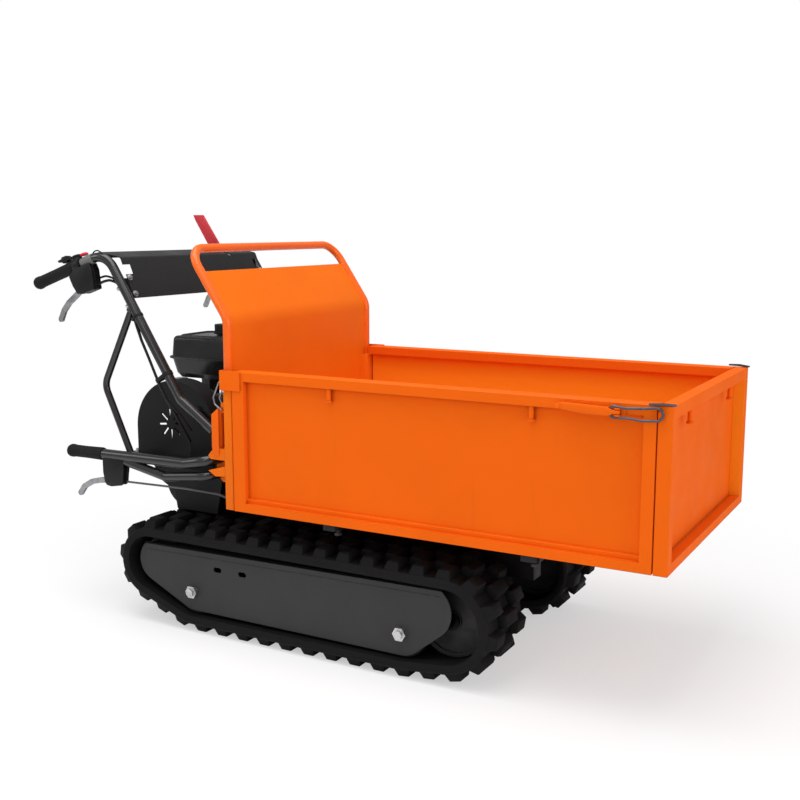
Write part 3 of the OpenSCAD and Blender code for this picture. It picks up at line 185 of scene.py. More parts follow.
def paint(name, base, worn, dust, rough=0.38, radius=0.0012, sheen=0.3, peel=0.05, spread=0.12,
          arms=None, inside=None, grime=None):
    """Powder coat: slight colour drift, fine texture and paler edges.

    Below the height arms it is dark steel. The mask inside picks faces in the tray, painted paler as painted
    light against their shade, with the rims' inner faces painted darker as painted shade; the last argument
    is how far painted shade, with some grime, reaches out of inner corners.
    """
    t = Surface(name)
    soft = t.rounded(radius)
    drift = t.noise(5.0, 3.0)
    color = t.mix(t.ramp(drift, 0.35, 0.7, 0.0, 0.35), base, shaded(base, 0.86))
    streak = t.noise(1.0, 3.0, vector=t.stretch((38.0, 38.0, 3.0)))
    color = t.mix(t.ramp(streak, 0.62, 0.8, 0.0, 0.16), color, dust)
    scuff = t.noise(90.0, 6.0, 0.7)
    wear = t.math("MULTIPLY", t.edges(soft), t.ramp(scuff, 0.46, 0.62))
    color = t.mix(t.math("MULTIPLY", wear, 0.55), color, worn)
    texture = t.noise(850.0, 2.0)
    smudge = t.noise(14.0, 5.0, 0.6)
    gloss = t.ramp(smudge, 0.3, 0.75, rough - 0.05, rough + spread)
    # Painted shade with some grime: inner corners darken by an occlusion mask out to this distance.
    if grime:
        color = t.mix(t.math("MULTIPLY", t.corners(grime), 0.5), color, CORNER_SHADE_AND_GRIME)
    # Painted light: faces inside the tray are paler to stand in for light lost to the tray's shade; above
    # RIM_Z the rims' inner faces are painted darker, painted shade.
    if inside:
        rim = t.ramp(t.height(), RIM_Z, RIM_Z + 0.0006)
        color = t.mix(inside(t), color, t.mix(rim, INSIDE_PAINTED_LIGHT_ORANGE, RIM_PAINTED_SHADE_ORANGE))
    if arms:
        color = t.mix(t.ramp(t.height(), arms + 0.0004, arms - 0.0004), color, ARM_STEEL)
    return t.finish(color, gloss, t.bump(texture, peel, 0.0006, soft), Specular_IOR_Level=sheen)


def orange_paint(name, base=ORANGE, **finish):
    return paint(name, base, WORN_ORANGE, DUSTY_ORANGE, **finish)


def rubber(name, base, dust, dusty=0.3, grain=420.0):
    t = Surface(name)
    soft = t.rounded(0.0015)
    patch = t.noise(7.0, 5.0, 0.6)
    fine = t.noise(grain, 3.0, 0.6)
    color = t.mix(t.ramp(patch, 0.42, 0.75, 0.0, dusty), base, dust)
    scuff = t.math("MULTIPLY", t.edges(soft), t.ramp(t.noise(60.0, 5.0), 0.4, 0.65, 0.0, 0.5))
    color = t.mix(scuff, color, dust)
    rough = t.ramp(patch, 0.3, 0.7, 0.62, 0.82)
    return t.finish(color, rough, t.bump(fine, 0.25, 0.0006, soft), Specular_IOR_Level=0.14)


def plastic(name, base, rough=0.45, grain=700.0, strength=0.12):
    t = Surface(name)
    soft = t.rounded(0.001)
    leather = t.cells(grain)
    drift = t.noise(22.0, 4.0)
    color = t.mix(t.ramp(drift, 0.35, 0.7, 0.0, 0.3), base, shaded(base, 1.5, 0.004))
    gloss = t.ramp(drift, 0.3, 0.7, rough - 0.06, rough + 0.1)
    return t.finish(color, gloss, t.bump(leather, strength, 0.0005, soft), Specular_IOR_Level=0.22)


def metal(name, base, dark, rough=0.34, brushed=(60.0, 60.0, 900.0), radius=0.0006, dark_from_x=None):
    """Bare or plated metal with fine lines; in front of a plane x, given last, it is darker."""
    t = Surface(name)
    soft = t.rounded(radius)
    lines = t.noise(1.0, 3.0, 0.6, vector=t.stretch(brushed))
    stain = t.noise(40.0, 5.0, 0.65)
    color = t.mix(t.ramp(stain, 0.45, 0.72, 0.0, 0.6), base, dark)
    if dark_from_x:
        color = t.mix(t.ramp(t.split(t.coord)[0], dark_from_x - 0.001, dark_from_x + 0.001), color, AXLE_DARK)
    gloss = t.ramp(lines, 0.3, 0.7, rough - 0.08, rough + 0.14)
    return t.finish(color, gloss, t.bump(lines, 0.06, 0.0004, soft), Metallic=1.0)


def cast(name, base, dark, metallic=0.6, rough=0.55):
    t = Surface(name)
    soft = t.rounded(0.0015)
    sand = t.noise(380.0, 4.0, 0.7)
    # Here only a random grime pattern; no shade is painted in this finish.
    grime = t.noise(18.0, 6.0, 0.65)
    color = t.mix(t.ramp(grime, 0.42, 0.7, 0.0, 0.8), base, dark)
    gloss = t.ramp(grime, 0.3, 0.7, rough - 0.08, rough + 0.16)
    return t.finish(color, gloss, t.bump(sand, 0.3, 0.0007, soft), Metallic=metallic)


def tray_inside(t):
    """1 on panel faces that look into the tray, which are painted paler as painted light against the tray's
    shade.
    """
    x, y, _ = t.split(t.coord)
    normal_x, normal_y, _ = t.split(t.facing())
    walls = t.ramp(t.math("MULTIPLY", y, normal_y), -0.20, -0.28)
    front = t.ramp(t.math("MULTIPLY", x, normal_x), -0.70, -0.76)
    return t.math("MAXIMUM", walls, front)


orange = orange_paint("orange_coat", rough=0.42, sheen=0.06)
hoop_coat = orange_paint("hoop_coat", rough=0.22, sheen=0.35, peel=0.02, spread=0.05)
board_coat = orange_paint("board_coat", BOARD_PAINTED_LIGHT_ORANGE, rough=0.42, sheen=0.06)
# The panels carry painted light on their inner faces, and painted shade on their rims and in their corners.
panel_coat = orange_paint("panel_coat", rough=0.6, sheen=0.04, arms=ARM_Z, inside=tray_inside, grime=0.012)
black = paint("black_coat", rgb(26, 26, 27), rgb(82, 82, 84), rgb(42, 41, 40), 0.22,
              sheen=0.6, peel=0.02, spread=0.05)
frame_black = paint("frame_coat", rgb(17, 17, 18), rgb(52, 52, 54), rgb(30, 29, 28), 0.5, sheen=0.15)
guard_black = paint("guard_coat", rgb(32, 32, 32), rgb(66, 66, 68), rgb(44, 42, 40), 0.5, sheen=0.15)
cover_grey = paint("cover_coat", rgb(55, 55, 56), rgb(98, 98, 100), rgb(68, 66, 63), 0.5, sheen=0.2)
# Painted shade: a darker copy of the cover coat for the folds under the tray; its paler edges are partly a
# painted highlight along the fold.
cover_painted_shade = paint("cover_fold", rgb(46, 46, 47), rgb(112, 112, 114), rgb(60, 58, 55), 0.46, sheen=0.2)
console_grey = paint("console_coat", rgb(42, 42, 43), rgb(92, 92, 94), rgb(54, 52, 50), 0.46, sheen=0.12)
tank_black = paint("tank_coat", rgb(25, 25, 26), rgb(84, 84, 86), rgb(38, 37, 36), 0.2, 0.002, 0.4)
red_coat = paint("red_coat", rgb(194, 44, 54), rgb(222, 120, 118), rgb(128, 34, 36), 0.36)
track_rubber = rubber("track_rubber", rgb(18, 18, 18), rgb(34, 33, 32), 0.2)
grip_rubber = rubber("grip_rubber", rgb(26, 26, 27), rgb(52, 51, 50), 0.22, 900.0)
cable_skin = plastic("cable_skin", rgb(22, 22, 23), 0.42, 1500.0, 0.05)
sheath_grey = plastic("sheath_grey", rgb(84, 85, 87), 0.4, 1500.0, 0.05)
black_plastic = plastic("black_plastic", rgb(20, 20, 22), 0.42)
clamp_grey = plastic("clamp_grey", rgb(104, 106, 104), 0.4)
red_plastic = plastic("red_plastic", rgb(206, 30, 44), 0.3, 900.0, 0.04)
zinc = metal("zinc_steel", ZINC, DULL_ZINC, 0.32)
axle_steel = metal("axle_steel", ZINC, DULL_ZINC, 0.32, dark_from_x=DARK_AXLE_X)
dark_zinc = metal("dark_zinc", rgb(64, 66, 68), rgb(32, 33, 35), 0.46)
wire_steel = metal("wire_steel", rgb(92, 95, 103), rgb(50, 52, 58), 0.38, radius=0.0004)
latch_wire = metal("latch_wire", rgb(150, 153, 158), rgb(96, 98, 104), 0.34, radius=0.0004)
lever_alloy = metal("lever_alloy", rgb(168, 169, 172), rgb(110, 111, 114), 0.42,
                    (200.0, 200.0, 200.0), 0.0012)
muffler_steel = metal("muffler_steel", rgb(140, 132, 122), rgb(74, 62, 52), 0.42)
engine_cast = cast("engine_cast", rgb(120, 122, 124), rgb(52, 52, 52))
iron = cast("dark_iron", rgb(20, 20, 21), rgb(12, 12, 12), 0.1, 0.62)

skins = {
    orange: ["tray_floor"],
    panel_coat: ["side_panel_right", "side_panel_left", "front_panel"],
    guard_black: ["belt_guard"],
    frame_black: ["chassis_frame", "blower_housing", "tray_frame"],
    black: ["tipping_handle"],
    cover_grey: ["side_cover_right", "side_cover_left"],
    tank_black: ["fuel_tank"],
    track_rubber: ["drive_belt", "tray_buffers"],
    sheath_grey: ["release_cable"],
    black_plastic: ["air_filter", "fuel_cap", "recoil_handle"],
    axle_steel: ["track_axles"],
    dark_zinc: ["clamp_screws", "catch_hook"],
    lever_alloy: ["clutch_lever_right", "clutch_lever_left", "release_lever"],
    muffler_steel: ["muffler"],
    engine_cast: ["engine_block"],
    iron: ["gearbox", "engine_pulley", "gearbox_pulley"],
}
for side, _ in SIDES:
    skins[iron] += [wheel + side for wheel in ("sprocket_", "idler_", "roller_front_", "roller_rear_")]
for material, names in skins.items():
    for name in names:
        nodes[name].data.materials.clear()
        nodes[name].data.materials.append(material)


# Mesh helpers

def placed(name, data):
    """A new object in the scene, made of a mesh, camera or lamp."""
    thing = bpy.data.objects.new(name, data)
    scene.collection.objects.link(thing)
    return thing


def show(name, bm, material, body, smooth=40.0, replaces=None):
    """Turns a bmesh into a piece of the object, shaded smooth below an angle in degrees."""
    bmesh.ops.recalc_face_normals(bm, faces=bm.faces)
    for face in bm.faces:
        face.smooth = True
    for edge in bm.edges:
        if len(edge.link_faces) == 2 and edge.calc_face_angle() > radians(smooth):
            edge.smooth = False
    data = bpy.data.meshes.new(name)
    bm.to_mesh(data)
    bm.free()
    data.materials.append(material)
    piece = placed(name, data)
    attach(piece, body)
    if replaces:
        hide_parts(replaces)


def mm(*v):
    return Vector(v) * 0.001


def across(points, y):
    """Points (x, z) in mm set in the plane y."""
    return [mm(x, y, z) for x, z in points]


def mirrored(points, sign):
    """Points (x, y, z) in mm of the left side, or of the right one where sign is -1."""
    return [mm(x, sign * y, z) for x, y, z in points]


def ring_faces(bm, rings, closed=False):
    """Faces between rings of equal count, with end caps unless the row is closed."""
    n = len(rings[0])
    pairs = list(zip(rings, rings[1:]))
    if closed:
        pairs.append((rings[-1], rings[0]))
    for a, b in pairs:
        for i in range(n):
            j = (i + 1) % n
            bm.faces.new((a[i], a[j], b[j], b[i]))
    if not closed:
        bm.faces.new(rings[0])
        bm.faces.new(list(reversed(rings[-1])))


def rounded_path(points, radius, steps=6):
    """Points with each inner corner replaced by an arc."""
    pts = [Vector(p) for p in points]
    out = [pts[0]]
    for a, b, c in zip(pts, pts[1:], pts[2:]):
        u, v = (a - b).normalized(), (c - b).normalized()
        half = u.angle(v) / 2
        reach = min(radius / tan(half), (a - b).length * 0.49, (c - b).length * 0.49)
        r = reach * tan(half)
        mid = b + (u + v).normalized() * (r / sin(half))
        p, q = b + u * reach - mid, b + v * reach - mid
        turn = p.angle(q)
        for k in range(steps + 1):
            t = k / steps
            spoke = p
            if turn > 1e-6:
                spoke = (p * sin((1 - t) * turn) + q * sin(t * turn)) / sin(turn)
            out.append(mid + spoke)
    out.append(pts[-1])
    return out


def direction(path, k):
    """The way an open path runs at its point k."""
    return (path[min(k + 1, len(path) - 1)] - path[max(k - 1, 0)]).normalized()


def circle_angles(count):
    return [2 * pi * k / count for k in range(count)]


def sweep(bm, path, radius, sides=16, closed=False):
    """A round rod along a path; radius is a number or one for each point."""
    n = len(path)
    radii = radius if isinstance(radius, (list, tuple)) else [radius] * n
    if closed:
        tangents = [(path[(i + 1) % n] - path[i - 1]).normalized() for i in range(n)]
    else:
        tangents = [direction(path, i) for i in range(n)]
    axis = Vector((0, 0, 1)) if abs(tangents[0].z) < 0.9 else Vector((1, 0, 0))
    u = tangents[0].cross(axis).normalized()
    rings = []
    for p, t, r in zip(path, tangents, radii):
        u = (u - t * u.dot(t)).normalized()
        w = t.cross(u)
        rings.append([bm.verts.new(p + (u * cos(a) + w * sin(a)) * r)
                      for a in circle_angles(sides)])
    ring_faces(bm, rings, closed)


def rod(bm, points, bend, radius, sides, steps=6):
    """A round rod through points in mm, with corners of radius bend."""
    sweep(bm, rounded_path([mm(*p) for p in points], bend, steps), radius, sides)


def circle_path(centre, axis, r, count=24):
    axis = Vector(axis).normalized()
    u = axis.orthogonal().normalized()
    w = axis.cross(u)
    return [centre + (u * cos(a) + w * sin(a)) * r for a in circle_angles(count)]


def bead(bm, path, r, closed=False, pitch=0.0022):
    """A weld bead with ripples along a path."""
    pts = list(path) + ([path[0]] if closed else [])
    fine = []
    for a, b in zip(pts, pts[1:]):
        k = max(1, round((b - a).length / pitch))
        fine += [a.lerp(b, i / k) for i in range(k)]
    if not closed:
        fine.append(pts[-1])
    radii = [r * (1.0 + (0.16 if i % 2 else -0.1) + 0.08 * sin(i * 1.7)) for i in range(len(fine))]
    if not closed:
        radii[0] = radii[-1] = r * 0.45
    sweep(bm, fine, radii, 8, closed)


def hull_2d(points):
    """The convex outline of points, anticlockwise."""
    def turns_left(a, b, c):
        return (b[0] - a[0]) * (c[1] - a[1]) - (b[1] - a[1]) * (c[0] - a[0]) > 0

    def half(row):
        out = []
        for point in row:
            while len(out) > 1 and not turns_left(out[-2], out[-1], point):
                out.pop()
            out.append(point)
        return out[:-1]

    ordered = sorted(set(points))
    return half(ordered) + half(ordered[::-1])


def lathe(bm, place, axis, profile, sides=24):
    """Turns (radius, height) points about an axis; a first or last radius of 0 closes it."""
    axis = Vector(axis).normalized()
    rows = []
    for r, h in profile:
        centre = place + axis * h
        points = circle_path(centre, axis, r, sides) if r else [centre]
        rows.append([bm.verts.new(p) for p in points])
    for a, b in zip(rows, rows[1:]):
        for i in range(sides):
            j = (i + 1) % sides
            if len(a) == 1:
                bm.faces.new((a[0], b[j], b[i]))
            elif len(b) == 1:
                bm.faces.new((a[i], a[j], b[0]))
            else:
                bm.faces.new((a[i], a[j], b[j], b[i]))


def stud(bm, place, axis, radius, height, sides, cut_in=0.0, cut_down=0.0):
    """A short cylinder or a six-sided head, its top edge cut in and down."""
    rim = [(radius, height)]
    if cut_in:
        rim = [(radius, height - cut_down), (radius - cut_in, height)]
    lathe(bm, place, axis, [(0, 0), (radius, 0)] + rim + [(0, height)], sides)


def pin(bm, place, axis, radius, length, chamfer, sides):
    """A round pin with both ends chamfered."""
    inner = radius - chamfer
    ends = [(inner, 0), (radius, chamfer), (radius, length - chamfer), (inner, length)]
    lathe(bm, place, axis, [(0, 0)] + ends + [(0, length)], sides)


def hex_bolt(bm, place, axis, across_flats, height, washer=True):
    axis = Vector(axis).normalized()
    r = across_flats / sqrt(3)
    washer_t = 0.0014
    if washer:
        stud(bm, place, axis, across_flats * 0.92, washer_t, 24)
        place = place + axis * washer_t
    stud(bm, place, axis, r, height, 6, r * 0.12, height * 0.18)


def prism(bm, loop_a, loop_b, round_by=0.0, segments=2):
    """A solid between two loops of points, its edges rounded."""
    a = [bm.verts.new(p) for p in loop_a]
    b = [bm.verts.new(p) for p in loop_b]
    faces = [bm.faces.new(a), bm.faces.new(list(reversed(b)))]
    for i in range(len(a)):
        j = (i + 1) % len(a)
        faces.append(bm.faces.new((a[i], b[i], b[j], a[j])))
    if round_by:
        edges = list(dict.fromkeys(e for f in faces for e in f.edges))
        bmesh.ops.bevel(bm, geom=edges, offset=round_by, segments=segments, affect="EDGES", profile=0.5)


def plate(bm, points, y0, y1, round_by=0.0008, segments=2):
    """A flat piece with the outline (x, z) in mm between the planes y0 and y1."""
    prism(bm, across(points, y0), across(points, y1), round_by, segments)


def rectangle(x0, z0, x1, z1):
    return [(x0, z0), (x1, z0), (x1, z1), (x0, z1)]


def folded_sheet(bm, path, y0, y1, front, back):
    """A sheet from y0 to y1 along a bent path, with one face in front of the path and one behind it."""
    rows = []
    for k, p in enumerate(path):
        t = direction(path, k)
        out = Vector((t.z, 0, -t.x))
        a, b = p + out * front, p - out * back
        rows.append([bm.verts.new((q.x, y, q.z)) for q, y in ((a, y0), (a, y1), (b, y1), (b, y0))])
    ring_faces(bm, rows)


def joined(bm, other):
    """Adds another bmesh's geometry to this one."""
    data = bpy.data.meshes.new("part")
    other.to_mesh(data)
    other.free()
    bm.from_mesh(data)
    bpy.data.meshes.remove(data)


# Tracks: a smooth belt round the wheels, with rounded lugs and guide horns

# Sprocket, idler, front roller and rear roller as (x, z, radius)
WHEELS = [(-0.440, 0.150, 0.065), (0.348, 0.131, 0.082), (0.243, 0.095, 0.057), (-0.318, 0.095, 0.057)]
TRACK_Y, TRACK_W, BELT_T = 0.228, 0.180, 0.020
LUG_PITCH, LUG_H, LUG_ROUND = 0.060, 0.018, 0.0022
HORN_H, HORN_Y, HORN_HALF, HORN_ROUND = 0.019, 0.015, 0.005, 0.0014


class Loop:
    """The belt's path round the wheels, at a height above the wheels' rims."""

    def __init__(self, wheels):
        self.wheels = wheels
        n = len(wheels)
        self.angle, self.run, self.arc = [], [], []
        for i in range(n):
            (x, z, r), (p, q, s) = wheels[i], wheels[(i + 1) % n]
            d = hypot(p - x, q - z)
            self.angle.append(atan2(q - z, p - x) + acos((r - s) / d))
            self.run.append(sqrt(d * d - (r - s) ** 2))
        for i in range(n):
            self.arc.append((self.angle[i - 1] - self.angle[i]) % (2 * pi))

    def length(self, out):
        return sum(self.run) + sum(a * (w[2] + out) for a, w in zip(self.arc, self.wheels))

    def at(self, out, s):
        """((x, z), outward angle) at a distance along the loop, measured at height out."""
        n = len(self.wheels)
        i = 0
        while True:
            if s <= self.run[i]:
                a = self.angle[i]
                x, z, r = self.wheels[i]
                return (x + cos(a) * (r + out) + sin(a) * s,
                        z + sin(a) * (r + out) - cos(a) * s), a
            s -= self.run[i]
            j = (i + 1) % n
            x, z, r = self.wheels[j]
            if s <= self.arc[j] * (r + out):
                a = self.angle[i] - s / (r + out)
                return (x + cos(a) * (r + out), z + sin(a) * (r + out)), a
            s -= self.arc[j] * (r + out)
            i = j

    def stations(self, step):
        """(x, z, angle, radius) where the belt's section is drawn: each arc's ends and points between."""
        rows = []
        for i, (x, z, r) in enumerate(self.wheels):
            k = max(2, ceil(self.arc[i] / step))
            rows += [(x, z, self.angle[i - 1] - self.arc[i] * j / k, r) for j in range(k + 1)]
        return rows


def track(side, sign):
    loop = Loop(WHEELS)
    bm = bmesh.new()
    half = TRACK_W / 2
    edge = [(half - 0.003, 0.0), (half, 0.004), (half, 0.015), (half - 0.004, BELT_T), (0.034, BELT_T),
            (0.030, BELT_T - 0.002)]
    section = edge + [(-y, h) for y, h in reversed(edge)]
    rings = []
    for x, z, a, r in loop.stations(radians(5)):
        rings.append([bm.verts.new((x + cos(a) * (r + h), sign * TRACK_Y + y, z + sin(a) * (r + h)))
                      for y, h in section])
    ring_faces(bm, rings, True)

    def block(spot, a, corners, y0, y1, in0, in1, round_by):
        """A lug or horn from y0 to y1, its top drawn in by in0 and in1; corners are (along, up)."""
        up = Vector((cos(a), 0, sin(a)))
        along = Vector((sin(a), 0, -cos(a)))
        place = Vector((spot[0], sign * TRACK_Y, spot[1]))
        top = max(abs(h) for _, h in corners)
        ends = []
        for y, draw in ((y0, in0), (y1, -in1)):
            ends.append([place + along * c + up * h + Vector((0, y + draw * abs(h) / top, 0))
                         for c, h in corners])
        part = bmesh.new()
        prism(part, ends[0], ends[1], round_by)
        for v in part.verts:
            v.co.z = max(v.co.z, 0.0)
        joined(bm, part)

    total = loop.length(BELT_T)
    count = round(total / LUG_PITCH)
    lug = [(-0.0185, -0.003), (0.0185, -0.003), (0.0130, LUG_H), (-0.0130, LUG_H)]
    horn = [(-0.0130, 0.003), (0.0130, 0.003), (0.0068, -HORN_H), (-0.0068, -HORN_H)]
    for k in range(count):
        spot, a = loop.at(BELT_T, total * k / count)
        block(spot, a, lug, 0.030, half - 0.002, 0.004, 0.012, LUG_ROUND)
        block(spot, a, lug, 0.002 - half, -0.030, 0.012, 0.004, LUG_ROUND)
        spot, a = loop.at(BELT_T, total * (k + 0.5) / count)
        block(spot, a, lug, -0.033, 0.033, 0.004, 0.004, LUG_ROUND)
        spot, a = loop.at(0.0, loop.length(0.0) * k / count)
        for y in (-HORN_Y, HORN_Y):
            block(spot, a, horn, y - HORN_HALF, y + HORN_HALF, 0.0012, 0.0012, HORN_ROUND)
    show("track_%s_rubber" % side, bm, track_rubber, "chassis", 38.0, "track_" + side)


for side, sign in SIDES:
    track(side, sign)


# Dressing on the engine

def rounded_ring(centre, half_x, half_y, r, steps=6):
    """A closed rounded rectangle in a level plane."""
    out = []
    for sx, sy, a0 in ((1, 1, 0), (-1, 1, 90), (-1, -1, 180), (1, -1, 270)):
        corner = centre + Vector((sx * (half_x - r), sy * (half_y - r), 0))
        for k in range(steps + 1):
            a = radians(a0 + 90 * k / steps)
            out.append(corner + Vector((r * cos(a), r * sin(a), 0)))
    return out


def tank_beads():
    """Beads round the tank's top and its seam."""
    bm = bmesh.new()
    sweep(bm, rounded_ring(mm(-449, 5, 669.8), 0.094, 0.060, 0.016), 0.0042, 10, True)
    sweep(bm, rounded_ring(mm(-449, 5, 616.2), 0.1195, 0.0845, 0.0235), 0.0026, 10, True)
    show("tank_beads", bm, tank_black, "chassis", 60)


def tank_bracket():
    bm = bmesh.new()
    outer = rounded_path(across([(-556, 561.5), (-528, 561.5), (-519, 545), (-517, 505)], -76), 0.006, 4)
    inner = [p + mm(1.8, 0, -2.0) for p in outer]
    near = outer + inner[::-1]
    prism(bm, near, [p + mm(0, 30, 0) for p in near], 0.0004, 1)
    stud(bm, mm(-543, -62, 560), (0, 0, -1), 0.006, 0.007, 6, 0.0015, 0.002)
    show("tank_bracket", bm, zinc, "chassis", 35)


def throttle_linkage():
    """A plate with the throttle's rod, spring and nut."""
    bm = bmesh.new()
    arm = [(-466, 556), (-440, 552), (-414, 537), (-409, 517), (-424, 507), (-437, 517), (-449, 536)]
    plate(bm, arm, -84, -81.5, 0.0006)
    rod(bm, [(-452, -86, 546), (-420, -88, 528), (-385, -88, 531), (-330, -80, 548)], 0.008, 0.0013, 8)
    r, step, turn = 0.0032, 0.0006, 0.9
    coil = [Vector((step * k, r * cos(k * turn), r * sin(k * turn))) for k in range(120)]
    sweep(bm, [mm(-420, -90, 520) + p for p in coil], 0.0006, 6)
    stud(bm, mm(-424, -84, 521), (0, -1, 0), 0.0065, 0.0055, 6, 0.0015, 0.0015)
    show("throttle_linkage", bm, wire_steel, "chassis", 40)


def engine_hoses():
    """Fuel hose, ignition lead, spark plug cap and oil plug."""
    bm = bmesh.new()
    rod(bm, [(-395, -40, 567), (-395, -58, 548), (-345, -64, 536), (-306, -56, 542)], 0.02, 0.0042, 12)
    rod(bm, [(-222, -4, 541), (-214, 22, 552), (-250, 84, 556), (-330, 92, 552), (-372, 90, 536)],
        0.03, 0.0036, 12)
    cylinder_axis = Vector((0.966, 0, 0.259))
    plug_cap = [(0, 0), (0.011, 0), (0.011, 0.008), (0.0085, 0.012), (0.0085, 0.02), (0.006, 0.024),
                (0, 0.024)]
    lathe(bm, mm(-430, -4, 485) + cylinder_axis * 0.198, cylinder_axis, plug_cap)
    oil_plug = [(0, 0), (0.016, 0), (0.016, 0.012), (0.02, 0.014), (0.02, 0.02), (0.017, 0.023), (0, 0.023)]
    lathe(bm, mm(-505, -60, 401), (-0.7, -0.5, 0.5), oil_plug)
    show("engine_hoses", bm, cable_skin, "chassis", 50)


def muffler_louvres():
    bm = bmesh.new()
    for k in range(7):
        z = 590 + 9 * k
        for ends in ([(-321.6, 28), (-321.6, 96)], [(-300, 9.4), (-246, 9.4)]):
            sweep(bm, [mm(x, y, z) for x, y in ends], 0.0022, 8)
    show("muffler_louvres", bm, muffler_steel, "chassis", 50)


def filter_ribs():
    bm = bmesh.new()
    for k in range(9):
        x = -309 + 9 * k
        rod(bm, [(x, -98, 638), (x, -100.5, 638.5), (x, -100.5, 657.5)], 0.001, 0.0012, 8, 2)
    show("filter_ribs", bm, black_plastic, "chassis", 50)


tank_beads()
tank_bracket()
throttle_linkage()
engine_hoses()
muffler_louvres()
filter_ribs()


# Handlebars with their grips and controls

BAR_TIP, BAR_TOP = mm(-800.4, 0, 808), mm(-572, 0, 887)
BAR_LOW, BAR_END = mm(-356, 0, 548), mm(-261, 0, 483)
BAR_Y, BAR_R, BRACE_R = 0.280, 0.0113, 0.0083
BAR_Y_MM = BAR_Y * 1000
BAR_DOWN = (BAR_LOW - BAR_TOP).normalized()
GRIP_DIR = (BAR_TOP - BAR_TIP).normalized()
GRIP_UP = Vector((-GRIP_DIR.z, 0, GRIP_DIR.x))


def on_bar(s, h, y):
    """A place on the handlebar: s from its tip, h above its axis, in mm."""
    p = BAR_TIP + GRIP_DIR * (s * 0.001) + GRIP_UP * (h * 0.001)
    return Vector((p.x, y * 0.001, p.z))


def handlebars():
    weld_gap, weld_r = 0.0006, 0.0022
    for side, sign in SIDES:
        bm = bmesh.new()
        y = sign * BAR_Y_MM
        bar = [Vector((p.x, sign * BAR_Y, p.z)) for p in (BAR_TIP, BAR_TOP, BAR_LOW, BAR_END)]
        sweep(bm, rounded_path(bar, 0.055, 14), BAR_R, 28)
        brace = across([(-493, 763), (-592, 568), (-510, 389)], y)
        sweep(bm, rounded_path(brace, 0.040, 10), BRACE_R, 22)
        foot = [(-543, 213), (-475, 213), (-475, 292), (-543, 292)]
        prism(bm, [mm(x, sign * w, 385) for x, w in foot], [mm(x, sign * w, 390) for x, w in foot], 0.001)
        down = (brace[1] - brace[0]).normalized()
        bead(bm, circle_path(brace[0] + down * 0.0136, down, BRACE_R + weld_gap), weld_r, True)
        bead(bm, circle_path(mm(-510, y, 391), (0, 0, 1), BRACE_R + weld_gap), weld_r, True)
        show("handlebar_tube_" + side, bm, black, "chassis", 45, "handlebar_" + side)


def grip(bm, tip, along, length):
    """A smooth rubber grip with a rounded end, slipped over a tube."""
    end = [(0, -0.0060), (0.008, -0.0056), (0.0135, -0.0030), (0.0158, 0.0020), (0.0160, 0.0090)]
    body = [(0.0148, 0.0160), (0.0146, length * 0.5), (0.0152, length - 0.020), (0.0156, length - 0.004)]
    mouth = [(0.0146, length), (0.0118, length + 0.0005)]
    lathe(bm, tip, along, end + body + mouth, 36)


def grips():
    bm = bmesh.new()
    for sign in SIGNS:
        grip(bm, on_bar(0, 0, sign * BAR_Y_MM), GRIP_DIR, 0.134)
    show("bar_grips", bm, grip_rubber, "chassis", 50, "handlebar_grips")
    bm = bmesh.new()
    grip(bm, mm(-681, -312, 402), mm(359, 0, 4), 0.106)
    show("tray_grip", bm, grip_rubber, "tray", 50, "tipping_grip")


def lever_housings():
    """Cheeks and a spine round each clutch lever, its pin and clamp ring, and the throttle's boss."""
    bm = bmesh.new()
    cheek = [(-682, 827), (-671, 805), (-657, 787), (-640, 787), (-602, 800), (-608, 846), (-616, 862),
             (-668, 846)]
    spine = [(-632, 790), (-602, 800), (-608, 846), (-616, 862), (-668, 846), (-676, 836), (-662, 829),
             (-632, 822)]
    ring = [(0.0116, 0), (0.0160, 0.0005), (0.0172, 0.002), (0.0172, 0.020), (0.0160, 0.0225),
            (0.0116, 0.023)]
    for sign in SIGNS:
        y = sign * BAR_Y_MM
        plate(bm, cheek, y - 15, y - 4.7, 0.0024, 3)
        plate(bm, cheek, y + 4.7, y + 15, 0.0024, 3)
        plate(bm, spine, y - 5.5, y + 5.5, 0.0006, 1)
        lathe(bm, on_bar(136, 0, y), GRIP_DIR, ring, 32)
        pin(bm, mm(-652, y - 15.4, 800), (0, 1, 0), 0.0048, 0.0308, 0.0006, 16)
    stud(bm, on_bar(150, 10, -BAR_Y_MM), GRIP_UP, 0.0110, 0.0086, 28, 0.0010, 0.0008)
    show("lever_housings", bm, black_plastic, "chassis", 40, "grip_housings")


def release_housing():
    """Cheeks, spine and pin round the lever that lets the tray tip."""
    bm = bmesh.new()
    cheek = [(-571, 394), (-569, 360), (-566, 336), (-560, 329), (-546, 327), (-512, 333), (-507, 340),
             (-504, 372), (-504, 394), (-512, 400), (-564, 400)]
    spine = [(-570, 393), (-568, 370), (-530, 366), (-526, 334), (-512, 335), (-505, 372), (-505, 393),
             (-512, 399)]
    for y0, y1 in ((-323, -316.7), (-307.3, -301)):
        plate(bm, cheek, y0, y1, 0.0026, 3)
    plate(bm, spine, -317.5, -306.5, 0.0006, 1)
    lever_pin = [(0, 0), (0.0036, 0), (0.0042, 0.0006), (0.0042, 0.0226), (0, 0.0232)]
    lathe(bm, mm(-556, -323.6, 340), (0, 1, 0), lever_pin, 16)
    show("release_housing", bm, black_plastic, "tray", 40, "release_bracket")


def switch_clamp():
    bm = bmesh.new()
    ring = [(0.0114, 0), (0.0122, 0.0006), (0.0126, 0.002), (0.0126, 0.034), (0.0120, 0.038),
            (0.0114, 0.039)]
    for sign in SIGNS:
        lathe(bm, on_bar(162, 0, sign * BAR_Y_MM), GRIP_DIR, ring, 32)
    show("switch_clamp", bm, clamp_grey, "chassis", 40)


